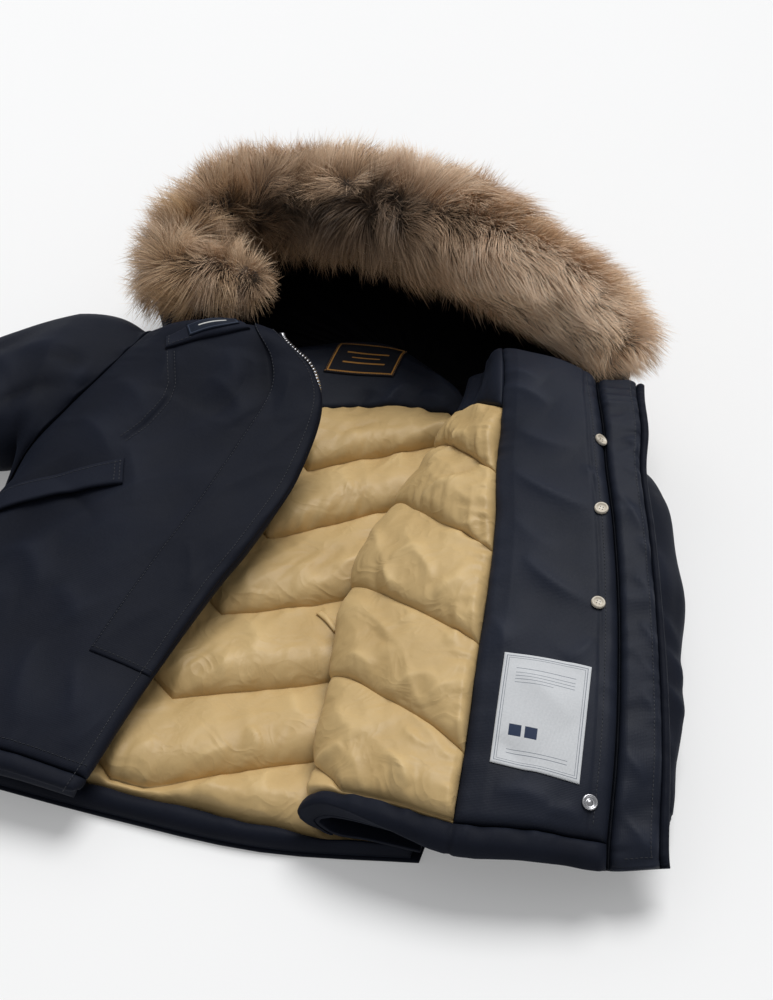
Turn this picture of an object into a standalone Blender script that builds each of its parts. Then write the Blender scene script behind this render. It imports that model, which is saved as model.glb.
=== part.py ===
# A child's down parka, lying on its back and opened. Units are metres.
# +X runs to the wearer's left, +Y from the hem to the hood, +Z up. The origin is on the
# floor under the centre back, near chest level. Tables are in centimetres.
import math

import bpy
import numpy as np
from mathutils.bvhtree import BVHTree

CM = 0.01
SEAM_GAP = 0.0003
LAYER_GAP = 0.0005
FLAP_GAP = 0.0008
LINING_GAP = 0.00085
TAB_GAP = 0.0009
LABEL_GAP = 0.0011
SHELL = 0.0030
PAD = 0.0110
FACING_PAD = 0.0110
FLY_PAD = 0.0080
HEM_PAD = 0.0120
TAPE = 0.0020
PLACKET = 0.0016
LABEL = 0.0010
FLAP = 0.0030
NECK_PAD = (0.0060, 0.0115, 0.0140, 0.0165, 0.0175, 0.0100)
SHOULDER_PAD = (0.0065, 0.0040)
PUFF_LOW = 0.0060
BACK_PUFF = 0.0175
FRONT_PUFF = 0.0125
SLEEVE_WALL = 0.0070
HOOD_WALL = 0.0030
HOOD_LINING = 0.0020
BUTTON_RADIUS = 0.0057
BUTTON_HEIGHT = 0.0030
SNAP_RADIUS = 0.0063
SNAP_HEIGHT = 0.0025
SHARP_DEGREES = 40

NAVY = (0.012, 0.017, 0.026)
BLACK_NAVY = (0.006, 0.008, 0.012)
KHAKI = (0.52, 0.38, 0.20)
FUR = (0.30, 0.21, 0.14)
WHITE = (0.80, 0.81, 0.82)
BONE = (0.62, 0.54, 0.42)
STEEL = (0.45, 0.45, 0.47)

# The back on the floor: plan points (x, y) of five lines that run from hem to neck.
BACK_LINES = ("left", "left_mid", "centre", "right_mid", "right")
BACK_ROWS = {
    "hem": ((-25.8, -36.4), (-12.0, -35.6), (0.0, -34.7), (12.0, -33.2), (23.6, -29.6)),
    "hip": ((-25.0, -25.0), (-12.0, -24.2), (0.0, -23.4), (11.5, -21.8), (22.8, -19.4)),
    "chest": ((-23.0, -11.0), (-11.5, -10.6), (0.0, -10.0), (10.5, -9.2), (20.4, -8.4)),
    "blade": ((-19.4, -1.0), (-10.0, -0.8), (0.0, 0.0), (8.0, 0.4), (15.6, 0.6)),
    "yoke": ((-17.5, 5.4), (-9.4, 8.4), (0.0, 11.0), (8.4, 10.0), (16.9, 6.0)),
    "neck": ((-16.4, 9.0), (-8.4, 16.6), (-0.4, 21.2), (7.8, 18.4), (15.8, 11.2)),
}

# The closed front, outer face up. Columns: centre front edge, crown of the panel, shoulder of
# the side fold, and the side seam, which becomes the armhole from "armpit" on.
LEFT_ROWS = {
    "hem": ((-2.0, -36.1, 3.7), (-12.5, -37.0, 4.1), (-23.6, -37.0, 3.0), (-25.7, -36.5, 0.7)),
    "band": ((-1.5, -34.5, 4.5), (-12.3, -35.1, 5.0), (-23.4, -35.2, 3.6), (-25.6, -34.9, 0.7)),
    "hip": ((-0.9, -24.7, 5.1), (-12.0, -25.0, 5.9), (-22.8, -25.1, 4.2), (-24.9, -25.2, 0.7)),
    "waist": ((0.3, -15.1, 6.0), (-11.6, -15.2, 6.8), (-21.6, -15.4, 4.8), (-23.5, -15.6, 0.7)),
    "side": ((1.1, -10.8, 6.4), (-11.2, -11.0, 7.2), (-20.6, -11.0, 5.8), (-22.4, -11.2, 1.8)),
    "armpit": ((1.6, -6.2, 6.7), (-10.8, -6.6, 7.5), (-18.9, -6.6, 7.2), (-21.0, -6.8, 5.8)),
    "chest": ((1.8, -1.3, 7.0), (-10.4, -1.8, 7.9), (-17.4, -2.2, 8.0), (-19.5, -2.2, 7.2)),
    "yoke": ((1.1, 5.0, 8.0), (-8.8, 3.8, 8.8), (-15.8, 2.4, 8.8), (-18.1, 2.2, 8.0)),
    "neck": ((-1.0, 8.2, 9.0), (-8.8, 7.2, 9.5), (-14.8, 6.2, 9.3), (-17.1, 6.0, 8.4)),
    "shoulder": ((-5.4, 10.8, 9.5), (-9.8, 10.2, 9.6), (-13.8, 9.2, 9.2), (-16.4, 8.6, 7.8)),
    "back_seam": ((-7.6, 15.0, 4.6), (-10.6, 13.2, 4.6), (-13.8, 11.2, 4.2), (-16.0, 10.0, 3.2)),
}

# The opened front, lining up: side seam under the fold, the fold itself, the seam between
# lining and facing, the zip line and the outer edge of the fly.
RIGHT_LINES = ("side", "fold", "seam", "zip", "edge")
RIGHT_ROWS = {
    "hem": (
        (23.8, -29.9, 1.9), (15.7, -31.0, 3.2), (26.3, -30.3, 4.1), (37.4, -27.2, 3.4), (41.7, -25.1, 3.2),
    ),
    "band": (
        (23.6, -28.2, 1.9), (15.3, -29.4, 3.3), (26.0, -28.9, 5.4), (36.9, -25.8, 4.6), (41.1, -23.8, 4.1),
    ),
    "hip": (
        (23.0, -20.6, 1.9), (13.4, -22.4, 3.2), (24.5, -21.9, 6.9), (35.3, -19.6, 6.8), (39.2, -18.0, 6.2),
    ),
    "waist": (
        (21.8, -13.6, 1.9), (11.7, -15.8, 3.2), (22.9, -15.5, 7.6), (33.4, -13.4, 8.0), (37.0, -12.0, 7.7),
    ),
    "armpit": (
        (20.2, -8.4, 1.9), (10.2, -9.2, 3.2), (21.4, -9.0, 8.1), (31.2, -7.0, 9.0), (34.5, -5.8, 8.8),
    ),
    "chest": (
        (15.0, -2.2, 1.9), (9.8, -2.0, 3.3), (19.6, -2.4, 8.5), (28.6, -0.4, 9.8), (31.9, 0.4, 9.6),
    ),
    "blade": (
        (14.6, 4.0, 2.0), (10.6, 4.6, 3.4), (17.6, 3.4, 8.7), (26.1, 5.2, 10.1), (29.3, 6.2, 10.0),
    ),
    "yoke": (
        (14.2, 8.4, 2.2), (11.0, 9.2, 3.8), (16.4, 7.8, 9.0), (24.4, 9.4, 10.3), (28.1, 10.4, 10.3),
    ),
    "neck": (
        (13.6, 12.0, 2.6), (11.0, 13.0, 4.2), (15.0, 12.4, 9.5), (22.9, 12.6, 10.3), (26.7, 13.8, 10.2),
    ),
    "collar": (
        (13.0, 15.2, 3.2), (10.6, 16.4, 4.6), (13.4, 16.2, 9.2), (22.0, 14.8, 9.8), (25.9, 16.2, 9.8),
    ),
}


def spread(knots, places):
    """Weights that carry a smooth curve through values at the knots to the given places."""
    knots = np.asarray(knots, float)
    places = np.asarray(places, float)
    last = len(knots) - 1
    index = np.clip(np.searchsorted(knots, places, side="right") - 1, 0, last - 1)
    width = knots[index + 1] - knots[index]
    s = (places - knots[index]) / width
    slopes = np.zeros((last + 1, last + 1))
    for i in range(last + 1):
        low = max(i - 1, 0)
        high = min(i + 1, last)
        slopes[i, high] += 1.0 / (knots[high] - knots[low])
        slopes[i, low] -= 1.0 / (knots[high] - knots[low])
    identity = np.eye(last + 1)
    start = 2 * s**3 - 3 * s**2 + 1
    start_slope = s**3 - 2 * s**2 + s
    end = -2 * s**3 + 3 * s**2
    end_slope = s**3 - s**2
    # Outside the knots the curve runs on straight.
    before = s < 0
    after = s > 1
    start = np.where(before, 1.0, np.where(after, 0.0, start))
    end = np.where(before, 0.0, np.where(after, 1.0, end))
    start_slope = np.where(before, s, np.where(after, 0.0, start_slope))
    end_slope = np.where(before, 0.0, np.where(after, s - 1, end_slope))
    return (
        start[..., None] * identity[index]
        + end[..., None] * identity[index + 1]
        + (start_slope * width)[..., None] * slopes[index]
        + (end_slope * width)[..., None] * slopes[index + 1]
    )


class Panel:
    """A smooth cloth surface through rows (hem to neck) of points on named lines."""

    def __init__(self, rows, lines, stations, across):
        self.points = np.array(rows, float)
        self.lines = dict(zip(lines, across))
        self.rows = dict(zip(stations, np.linspace(0.0, 1.0, len(stations))))
        self.across = np.array(across, float)
        self.along = np.linspace(0.0, 1.0, len(stations))
        middle = self.at(np.linspace(0, 1, 40), np.full(40, 0.5))
        self.width = np.linalg.norm(np.diff(middle, axis=0), axis=1).sum()
        middle = self.at(np.full(40, 0.5), np.linspace(0, 1, 40))
        self.length = np.linalg.norm(np.diff(middle, axis=0), axis=1).sum()

    def at(self, u, v):
        return np.einsum(
            "...r,...c,rcx->...x", spread(self.along, v), spread(self.across, u), self.points
        )

    def normal(self, u, v):
        step = 0.002
        over_u = self.at(u + step, v) - self.at(u - step, v)
        over_v = self.at(u, v + step) - self.at(u, v - step)
        cross = np.cross(over_u, over_v)
        return cross / np.linalg.norm(cross, axis=-1, keepdims=True)

    def find(self, x, y, guess=(0.6, 0.5)):
        """The (u, v) of the panel's point above the plan position x, y."""
        u, v = guess
        for _ in range(40):
            here = self.at(np.array(u), np.array(v))
            step = 0.001
            over_u = (self.at(np.array(u + step), np.array(v)) - here)[:2] / step
            over_v = (self.at(np.array(u), np.array(v + step)) - here)[:2] / step
            move = np.linalg.solve(np.array([over_u, over_v]).T, np.array([x, y]) - here[:2])
            move = np.clip(move, -0.08, 0.08)
            u += move[0]
            v += move[1]
        return u, v


def enclosed(points, faces):
    """Six times the volume inside the faces, negative where they point inwards."""
    points = np.asarray(points)
    total = 0.0
    for face in faces:
        for second, third in zip(face[1:], face[2:]):
            total += np.dot(points[face[0]], np.cross(points[second], points[third]))
    return total


def finish(name, points, faces, colour, roughness=0.8, metallic=0.0):
    """A named object from points and outward faces, with its own material."""
    mesh = bpy.data.meshes.new(name)
    if enclosed(points, faces) < 0:
        faces = [face[::-1] for face in faces]
    mesh.from_pydata([tuple(p) for p in points], [], faces)
    mesh.update()
    mesh.shade_smooth()
    mesh.set_sharp_from_angle(angle=math.radians(SHARP_DEGREES))
    material = bpy.data.materials.new(name)
    material.use_nodes = True
    shader = material.node_tree.nodes["Principled BSDF"]
    shader.inputs["Base Color"].default_value = (*colour, 1.0)
    shader.inputs["Roughness"].default_value = roughness
    shader.inputs["Metallic"].default_value = metallic
    mesh.materials.append(material)
    made = bpy.data.objects.new(name, mesh)
    bpy.context.collection.objects.link(made)
    return made


def wall(name, top, bottom, colour, **look):
    """A closed wall between two grids of points that have the same shape."""
    rows, columns = top.shape[:2]
    count = rows * columns
    points = np.concatenate([top.reshape(-1, 3), bottom.reshape(-1, 3)])

    def corner(row, column, side):
        return side * count + row * columns + column

    faces = []
    for r in range(rows - 1):
        for c in range(columns - 1):
            lower = ((r, c), (r, c + 1), (r + 1, c + 1))
            upper = ((r, c), (r + 1, c + 1), (r + 1, c))
            for triangle in (lower, upper):
                faces.append([corner(i, j, 0) for i, j in triangle])
                faces.append([corner(i, j, 1) for i, j in reversed(triangle)])
    ring = [(0, c) for c in range(columns)]
    ring += [(r, columns - 1) for r in range(1, rows)]
    ring += [(rows - 1, c) for c in range(columns - 2, -1, -1)]
    ring += [(r, 0) for r in range(rows - 2, 0, -1)]
    for here, there in zip(ring, ring[1:] + ring[:1]):
        faces.append([corner(*there, 0), corner(*here, 0), corner(*here, 1), corner(*there, 1)])
    return finish(name, points, faces, colour, **look)


def cloth(name, panel, u, v, low, high, colour, **look):
    """A wall on a panel, from the offset low to the offset high along its normals."""
    point = panel.at(u, v)
    normal = panel.normal(u, v)
    top = point + normal * np.broadcast_to(high, u.shape)[..., None]
    bottom = point + normal * np.broadcast_to(low, u.shape)[..., None]
    bottom[..., 2] = np.maximum(bottom[..., 2], 0.0)
    return wall(name, top, bottom, colour, **look)


def surface_of(thing):
    mesh = thing.data
    return BVHTree.FromPolygons([v.co for v in mesh.vertices], [p.vertices[:] for p in mesh.polygons])


def laid_on(name, support, corners, gap, thickness, colour, columns, rows):
    """A thin piece that rests on top of another solid, between four plan corners."""
    tree = surface_of(support)
    s, t = grid(np.linspace(0, 1, columns), np.linspace(0, 1, rows))
    shares = ((1 - s) * (1 - t), s * (1 - t), s * t, (1 - s) * t)
    x = sum(share * corner[0] for share, corner in zip(shares, corners)) * CM
    y = sum(share * corner[1] for share, corner in zip(shares, corners)) * CM
    z = np.zeros_like(x)
    for place in np.ndindex(x.shape):
        z[place] = tree.ray_cast((x[place], y[place], 0.5), (0, 0, -1))[0][2]
    bottom = np.stack([x, y, z + gap], axis=-1)
    return wall(name, bottom + (0, 0, thickness), bottom, colour)


def grid(u_values, v_values):
    return np.meshgrid(np.asarray(u_values, float), np.asarray(v_values, float))


def tube(name, rings, colour, inner=None, **look):
    """A closed solid round rings of points: solid with ends, or a hollow sleeve with a wall."""
    rows, columns = rings.shape[:2]
    points = rings.reshape(-1, 3)
    faces = []
    for r in range(rows - 1):
        for c in range(columns):
            d = (c + 1) % columns
            faces.append([r * columns + c, r * columns + d, (r + 1) * columns + d, (r + 1) * columns + c])
    if inner is None:
        faces.append(list(range(columns - 1, -1, -1)))
        faces.append([(rows - 1) * columns + c for c in range(columns)])
        return finish(name, points, faces, colour, **look)
    shift = len(points)
    points = np.concatenate([points, inner.reshape(-1, 3)])
    for r in range(rows - 1):
        for c in range(columns):
            d = (c + 1) % columns
            quad = [r * columns + d, r * columns + c, (r + 1) * columns + c, (r + 1) * columns + d]
            faces.append([shift + i for i in quad])
    for c in range(columns):
        d = (c + 1) % columns
        faces.append([d, c, shift + c, shift + d])
        end = (rows - 1) * columns
        faces.append([end + c, end + d, shift + end + d, shift + end + c])
    return finish(name, points, faces, colour, **look)


def mix(a, b, t):
    return np.asarray(a, float) * (1 - t) + np.asarray(b, float) * t


def back_panel():
    rows = []
    for row in BACK_ROWS.values():
        rows.append([(x * CM, y * CM, SHELL) for x, y in row])
    return Panel(rows, BACK_LINES, BACK_ROWS, (0.0, 0.27, 0.5, 0.75, 1.0))


def left_panel():
    rows = []
    for edge, crown, fold, seam in LEFT_ROWS.values():
        fly = mix(edge, crown, 0.48) + (0, 0, 0.3)
        half = mix(crown, fold, 0.55) + (0, 0, 0.4)
        rows.append([seam, fold, half, crown, fly, edge])
    lines = ("seam", "fold", "half", "crown", "fly", "edge")
    return Panel(np.array(rows) * CM, lines, LEFT_ROWS, (0.0, 0.12, 0.33, 0.55, 0.79, 1.0))


def right_panel():
    rows = []
    for side, fold, seam, zipper, edge in RIGHT_ROWS.values():
        under = mix(fold, side, 0.5)
        under[2] = side[2] + 0.15
        lip = np.array(fold) + (1.5, 0.0, -0.95)
        crest = np.array(fold) + (1.3, 0.1, 1.25)
        lining = mix(crest, seam, 0.5) + (0, 0, 0.35)
        facing = mix(seam, zipper, 0.5) + (0, 0, 0.35)
        rows.append([side, under, lip, fold, crest, lining, seam, facing, zipper, edge])
    lines = ("side", "under", "lip", "fold", "crest", "lining", "seam", "facing", "zip", "edge")
    across = (0.0, 0.11, 0.2, 0.245, 0.29, 0.42, 0.54, 0.72, 0.9, 1.0)
    return Panel(np.array(rows) * CM, lines, RIGHT_ROWS, across)


# Quilting. The lines of stitching make a chevron on the back, lowest at the centre. Columns:
# y at the centre and rise per centimetre aside.
BACK_STITCHES = ((-32.4, 0.7), (-23.1, 0.6), (-13.7, 0.6), (-4.5, 0.6), (4.0, 0.6))
BACK_LINING_HEM = ((-25, -33.7), (-12, -33.2), (0, -32.5), (8, -31.6), (14, -30.7), (18, -29.3), (24, -27.3))
BACK_LINING_TOP = ((-20, 6.6), (-1.6, 11.9), (6.4, 14.7), (16, 15.4))
RIGHT_STITCHES = ((-26.1, -31.6), (-17.9, -23.6), (-8.8, -14.2), (0.7, -5.3), (7.9, 2.7))
CHANNEL_STEPS = (0.0, 0.12, 0.42, 0.8)
CHANNEL_FACE = 0.34
CHANNEL_FALL = 0.8
FULL_CHANNEL = 0.035
LINING_SIDES = (0.075, 0.93)
LINING_TOP_LIMIT = 0.93
LINE_APART = 0.7
ROW_APART = 0.015
PRESS_WIDTH = 0.012

# Shares of the opened front's width: the zip tape beyond the zip line, and the fly's binding.
TAPE_SHARE = 0.027
BINDING_START = 0.976

# Shares of the closed front's width: the placket, and the zip tape that slips out at the top.
PLACKET_COLUMNS = (0.79, 0.84, 0.89, 0.94, 0.97, 0.994)
PLACKET_HEM = -24.4
ZIP_INNER = 0.955
ZIP_HIDDEN = 0.03
ZIP_SHOWN = 0.035

# Pieces laid on the panels: plan corners round from lower left.
POCKET_FLAP = ((-20.4, -14.2), (-10.9, -8.7), (-11.9, -6.3), (-21.0, -12.0))
HOOD_TAB = ((-13.6, 5.3), (-7.6, 9.8), (-9.3, 11.0), (-14.2, 6.6))
TAB_PATCH = ((-12.0, 6.9), (-8.6, 9.8), (-9.4, 10.6), (-12.8, 7.9))
INSIDE_LABEL = ((27.0, -24.1), (33.8, -23.4), (31.5, -14.1), (24.8, -15.0))
NECK_LABEL = ((-3.2, 15.1), (2.9, 16.8), (2.8, 20.6), (-3.3, 19.2))
LINING_TAB = ((7.3, -11.1), (9.6, -12.8), (9.9, -12.4), (7.6, -10.7))
BUTTONS = ((24.9, 7.5), (27.3, 0.4), (30.0, -8.3))
SNAP = (34.9, -24.2)


def puffed(step):
    """Puff height (0 to 1) across a channel: a round face to the hem, then a long fall."""
    face = 1 - min(step / CHANNEL_FACE, 1.0)
    fall = max(0.0, step - CHANNEL_FACE) / (1 - CHANNEL_FACE)
    return math.sqrt(1 - face**2) * (1 - CHANNEL_FALL * fall**1.5)


def channels(lines, length):
    """Rows of v and of puff height (0 to 1) between lines of stitching; narrow channels are flat."""
    values = []
    puffs = []
    for low, high in zip(lines, lines[1:]):
        full = np.minimum((high - low) * length / FULL_CHANNEL, 1.0)
        for step in CHANNEL_STEPS:
            values.append(low + (high - low) * step)
            puffs.append(full * puffed(step))
    values.append(lines[-1])
    puffs.append(np.zeros_like(lines[-1]))
    return np.array(values), np.array(puffs)


def plan_y(table, x):
    return np.interp(x, [p[0] for p in table], [p[1] for p in table])


def row_for_y(panel, u, y):
    """The v at which the panel's line u reaches the plan height y (metres)."""
    steps = np.linspace(-0.05, 1.05, 200)
    heights = panel.at(np.full(200, u), steps)[:, 1]
    return np.interp(y, heights, steps)


def fold_line():
    """Plan y and x of the opened front's fold, which presses on the back lining."""
    fold = RIGHT_LINES.index("fold")
    points = [row[fold] for row in RIGHT_ROWS.values()]
    return [p[1] * CM for p in points], [p[0] * CM for p in points]


def pressed_under_fold(place):
    """1 where the opened front lies on the back, 0 where the back is free."""
    fold_x = np.interp(place[..., 1], *fold_line())
    return np.clip((place[..., 0] - fold_x) / PRESS_WIDTH + 0.5, 0, 1)


def build_back(back):
    u, v = grid(np.linspace(0.0, 1.0, 15), np.linspace(0.0, 1.0, 16))
    cloth("back_shell", back, u, v, -SHELL, 0.0, NAVY)

    u_values = np.linspace(*LINING_SIDES, 15)
    x_values = back.at(u_values, np.full(15, 0.4))[:, 0] / CM
    hem = plan_y(BACK_LINING_HEM, x_values)
    top = plan_y(BACK_LINING_TOP, x_values)
    lines = [hem]
    for y, rise in BACK_STITCHES:
        line = y + rise * np.abs(x_values)
        lines.append(np.clip(line, lines[-1] + LINE_APART, top - LINE_APART))
    lines.append(top)
    lines = [
        np.array([row_for_y(back, column, y * CM) for column, y in zip(u_values, line)])
        for line in lines
    ]
    for k in range(1, len(lines)):
        lines[k] = np.maximum(np.minimum(lines[k], LINING_TOP_LIMIT), lines[k - 1] + ROW_APART)
    values, puffs = channels(lines, back.length)
    u = np.broadcast_to(u_values, values.shape)
    free = 1 - pressed_under_fold(back.at(u, values))
    height = LAYER_GAP + PUFF_LOW + BACK_PUFF * puffs * free
    lining = cloth("back_lining", back, u, values, LAYER_GAP, height, KHAKI, roughness=0.45)

    gap = SEAM_GAP / back.length
    low = np.full_like(lines[0], 0.004)
    steps = np.linspace(0, 1, 3)
    v = np.array([low + (lines[0] - gap * 2 - low) * s for s in steps])
    u = np.broadcast_to(u_values, v.shape)
    lift = np.array([0.7, 1.0, 0.8])[:, None] * HEM_PAD * np.ones_like(v)
    cloth("back_hem_facing", back, u, v, LAYER_GAP, LAYER_GAP + lift, NAVY)

    low = lines[-1] + gap * 2
    steps = np.linspace(0, 1, len(NECK_PAD))
    v = np.array([low + (0.999 - low) * s for s in steps])
    u = np.broadcast_to(u_values, v.shape)
    lift = np.array(NECK_PAD)[:, None] * np.ones_like(v)
    lift = mix(lift, NECK_PAD[0], pressed_under_fold(back.at(u, v)))
    facing = cloth("back_neck_facing", back, u, v, LAYER_GAP, LAYER_GAP + lift, NAVY)
    laid_on("neck_label", facing, NECK_LABEL, LABEL_GAP, LABEL, BLACK_NAVY, 10, 9)
    laid_on("lining_tab", lining, LINING_TAB, FLAP_GAP, LABEL, KHAKI, 8, 3)


def thinned(u, pad):
    """The padding's depth, thinner towards the side seam at u = 0."""
    return pad * np.clip(0.3 + u / 0.14, 0.3, 1.0)


def build_left_front(left):
    gap_v = SEAM_GAP / left.length
    band = left.rows["band"]
    columns = [0.0, 0.05, 0.1, 0.15, 0.22, 0.3, 0.38, 0.46, 0.55, 0.63, 0.71]
    columns += [*PLACKET_COLUMNS[:-1], 1.0]
    rows = np.linspace(band + gap_v, 1.0, 19)
    u, v = grid(columns, rows)
    cloth("left_front", left, u, v, -thinned(u, PAD), 0.0, NAVY)
    u, v = grid(columns, np.linspace(0.0, band - gap_v, 4))
    lift = np.array([-0.3, 0.05, 0.05, -0.05])[:, None] * 0.01
    cloth("left_hem_band", left, u, v, -thinned(u, PAD * 1.15), lift * np.clip(u / 0.1, 0.0, 1.0), NAVY)

    fly_low = row_for_y(left, 0.9, PLACKET_HEM * CM)
    fly_rows = [fly_low] + [row for row in rows if fly_low + 0.02 < row < 0.97]
    u, v = grid(PLACKET_COLUMNS, fly_rows)
    cloth("left_fly", left, u, v, LAYER_GAP, LAYER_GAP + PLACKET, NAVY)

    tape_rows = [row for row in rows if 0.12 < row < 0.9]
    u, v = grid([0.0, 0.5, 1.0], tape_rows)
    shown = np.clip((v - 0.74) / 0.1, 0.0, 1.0)
    u = ZIP_INNER + u * (ZIP_HIDDEN + ZIP_SHOWN * shown)
    below = -PAD - 2 * LAYER_GAP
    cloth("left_zip_tape", left, u, v, below - TAPE, below, BLACK_NAVY)

    top = LAYER_GAP + FLAP
    patch("left_pocket_flap", left, POCKET_FLAP, FLAP_GAP, top, NAVY, (0.3, 0.4), 10, 3)
    patch("hood_tab", left, HOOD_TAB, TAB_GAP, top, NAVY, (0.6, 0.8), 7, 4)
    above = top + TAB_GAP
    patch("hood_tab_patch", left, TAB_PATCH, above, above + LABEL, BLACK_NAVY, (0.6, 0.8), 5, 3)


def build_right_front(right):
    gap_v = SEAM_GAP / right.length
    gap_u = SEAM_GAP / right.width
    line = right.lines
    band = right.rows["band"]
    fold_to_seam = [line["fold"], line["crest"], 0.335, 0.38, line["lining"], 0.46, 0.50]
    fold_to_seam.append(line["seam"] - gap_u)
    shell_columns = [0.0, line["under"], 0.165, line["lip"], 0.222] + fold_to_seam[:-1]
    shell_columns += [line["seam"], 0.60, 0.66, line["facing"], 0.78, 0.84, line["zip"], 0.95, 1.0]
    u, v = grid(shell_columns, np.linspace(0.0, 1.0, 17))
    cloth("right_front_shell", right, u, v, -SHELL, 0.0, NAVY)

    columns = np.array(fold_to_seam)
    share = (columns - line["fold"]) / (line["seam"] - line["fold"])
    lines = [np.full_like(columns, band + gap_v)]
    for at_fold, at_seam in RIGHT_STITCHES:
        low = row_for_y(right, line["fold"], at_fold * CM)
        high = row_for_y(right, line["seam"], at_seam * CM)
        stitch = low + (high - low) * share
        lines.append(np.maximum(stitch, lines[-1] + ROW_APART))
    lining_top = row_for_y(right, line["fold"], 12.2 * CM)
    seam_top = row_for_y(right, line["seam"], 9.6 * CM)
    lines.append(lining_top + (seam_top - lining_top) * share)
    values, puffs = channels(lines, right.length)
    u = np.broadcast_to(columns, values.shape)
    height = LAYER_GAP + PUFF_LOW + FRONT_PUFF * puffs
    cloth("right_front_lining", right, u, values, LINING_GAP, height, KHAKI, roughness=0.45)

    facing_columns = [line["seam"] + gap_u, 0.60, 0.66, line["facing"], 0.78, 0.84, line["zip"] - gap_u]
    u, v = grid(facing_columns, np.linspace(band + gap_v, 1.0, 17))
    edge = np.clip(np.minimum(u - facing_columns[0], facing_columns[-1] - u) / 0.05, 0, 1)
    height = LAYER_GAP + FACING_PAD * (0.72 + 0.28 * edge)
    facing = cloth("right_facing", right, u, v, LAYER_GAP, height, NAVY)

    hem_columns = [line["lip"], 0.222] + fold_to_seam[:-1] + [line["seam"]] + facing_columns[1:]
    u, v = grid(hem_columns, np.linspace(0.0, band - gap_v, 4))
    lift = np.array([0.55, 1.0, 1.1, 0.75])[:, None] * HEM_PAD
    lift = lift * np.clip(0.35 + (u - line["lip"]) / 0.06, 0.0, 1.0)
    cloth("right_hem_band", right, u, v, LINING_GAP, LINING_GAP + lift, NAVY)

    tape_end = line["zip"] + TAPE_SHARE
    u, v = grid([line["zip"] + gap_u, tape_end], np.linspace(0.01, 0.99, 17))
    cloth("right_zip_tape", right, u, v, LAYER_GAP, LAYER_GAP + FLY_PAD * 0.55, BLACK_NAVY)
    u, v = grid(np.linspace(tape_end + gap_u, BINDING_START, 4), np.linspace(0.0, 0.99, 17))
    cloth("right_fly", right, u, v, LAYER_GAP, LAYER_GAP + FLY_PAD, NAVY)
    u, v = grid([BINDING_START + gap_u, 0.99, 1.0], np.linspace(0.0, 0.99, 17))
    cloth("right_fly_binding", right, u, v, LAYER_GAP, LAYER_GAP + FLY_PAD * 0.8, NAVY)

    share_rows = np.linspace(0.0, 1.0, 5)
    top = lines[-1] + 2 * gap_v
    v = np.array([top + (1.0 - top) * share_row for share_row in share_rows])
    u = np.broadcast_to(columns, v.shape)
    pad_low, pad_more = SHOULDER_PAD
    high = LAYER_GAP + pad_low + pad_more * np.clip((u - line["crest"]) / 0.1, 0.0, 1.0)
    cloth("right_shoulder_facing", right, u, v, LINING_GAP, high, NAVY)

    low = LAYER_GAP + FACING_PAD + SEAM_GAP + 0.0001
    patch("inside_label", right, INSIDE_LABEL, low, low + LABEL, WHITE, (0.7, 0.3), 6, 9)
    for number, place in enumerate(BUTTONS, 1):
        disc(f"button_{number}", right, facing, place, BUTTON_RADIUS, BUTTON_HEIGHT, BONE, (0.85, 0.6))
    disc("snap", right, facing, SNAP, SNAP_RADIUS, SNAP_HEIGHT, STEEL, (0.85, 0.1), metallic=1.0)


# Sleeves. Columns: centre x and y, direction of the outer side in degrees, half width and
# half height.
LEFT_SLEEVE = {
    "armhole": (-19.45, 0.3, 74.0, 8.4, 4.0),
    "cap": (-22.2, 2.3, 90.0, 8.5, 4.5),
    "upper": (-26.4, -0.6, 110.0, 6.9, 3.9),
    "bicep": (-31.8, -4.7, 121.0, 6.4, 3.5),
    "elbow": (-37.6, -9.2, 124.0, 6.2, 3.3),
    "forearm": (-43.2, -13.8, 127.0, 5.9, 3.0),
    "wrist": (-48.8, -18.4, 129.0, 5.6, 2.7),
    "cuff": (-53.6, -22.6, 130.0, 5.4, 2.4),
}
RIGHT_SLEEVE = {
    "armhole": (17.4, 5.5, 75.0, 8.2, 3.3),
    "cap": (21.6, 4.9, 62.0, 8.2, 3.8),
    "upper": (24.9, 3.0, 38.0, 7.8, 3.9),
    "bicep": (27.7, -2.1, 25.0, 7.3, 3.7),
    "elbow": (30.1, -7.9, 19.0, 6.9, 3.4),
    "forearm": (32.3, -14.0, 14.0, 6.4, 2.9),
    "wrist": (34.0, -18.6, 8.0, 5.9, 2.3),
    "cuff": (34.9, -21.8, 2.0, 5.5, 1.9),
}
SLEEVE_SIDES = 20
SLEEVE_RINGS = 15
ARMHOLE_RINGS = 2.5
ARMHOLE_GAP = 0.0012
OPEN_ARMHOLE_GAP = 0.0030
OVAL = (0.85, 0.75)


def armhole_ring(back, front, side, front_rows, edge_rows):
    """The first ring: over the front panel's armhole edge, back along the edge of the back."""
    half = SLEEVE_SIDES // 2
    over = front.at(np.zeros(half + 1), np.linspace(*front_rows, half + 1))
    under = back.at(np.full(half + 1, side), np.linspace(*edge_rows, half + 1))
    under[:, 2] = 0.0
    ring = np.concatenate([over, under[1:-1]])
    ring[:, 0] += OPEN_ARMHOLE_GAP if side > 0.5 else -ARMHOLE_GAP
    return ring


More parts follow.
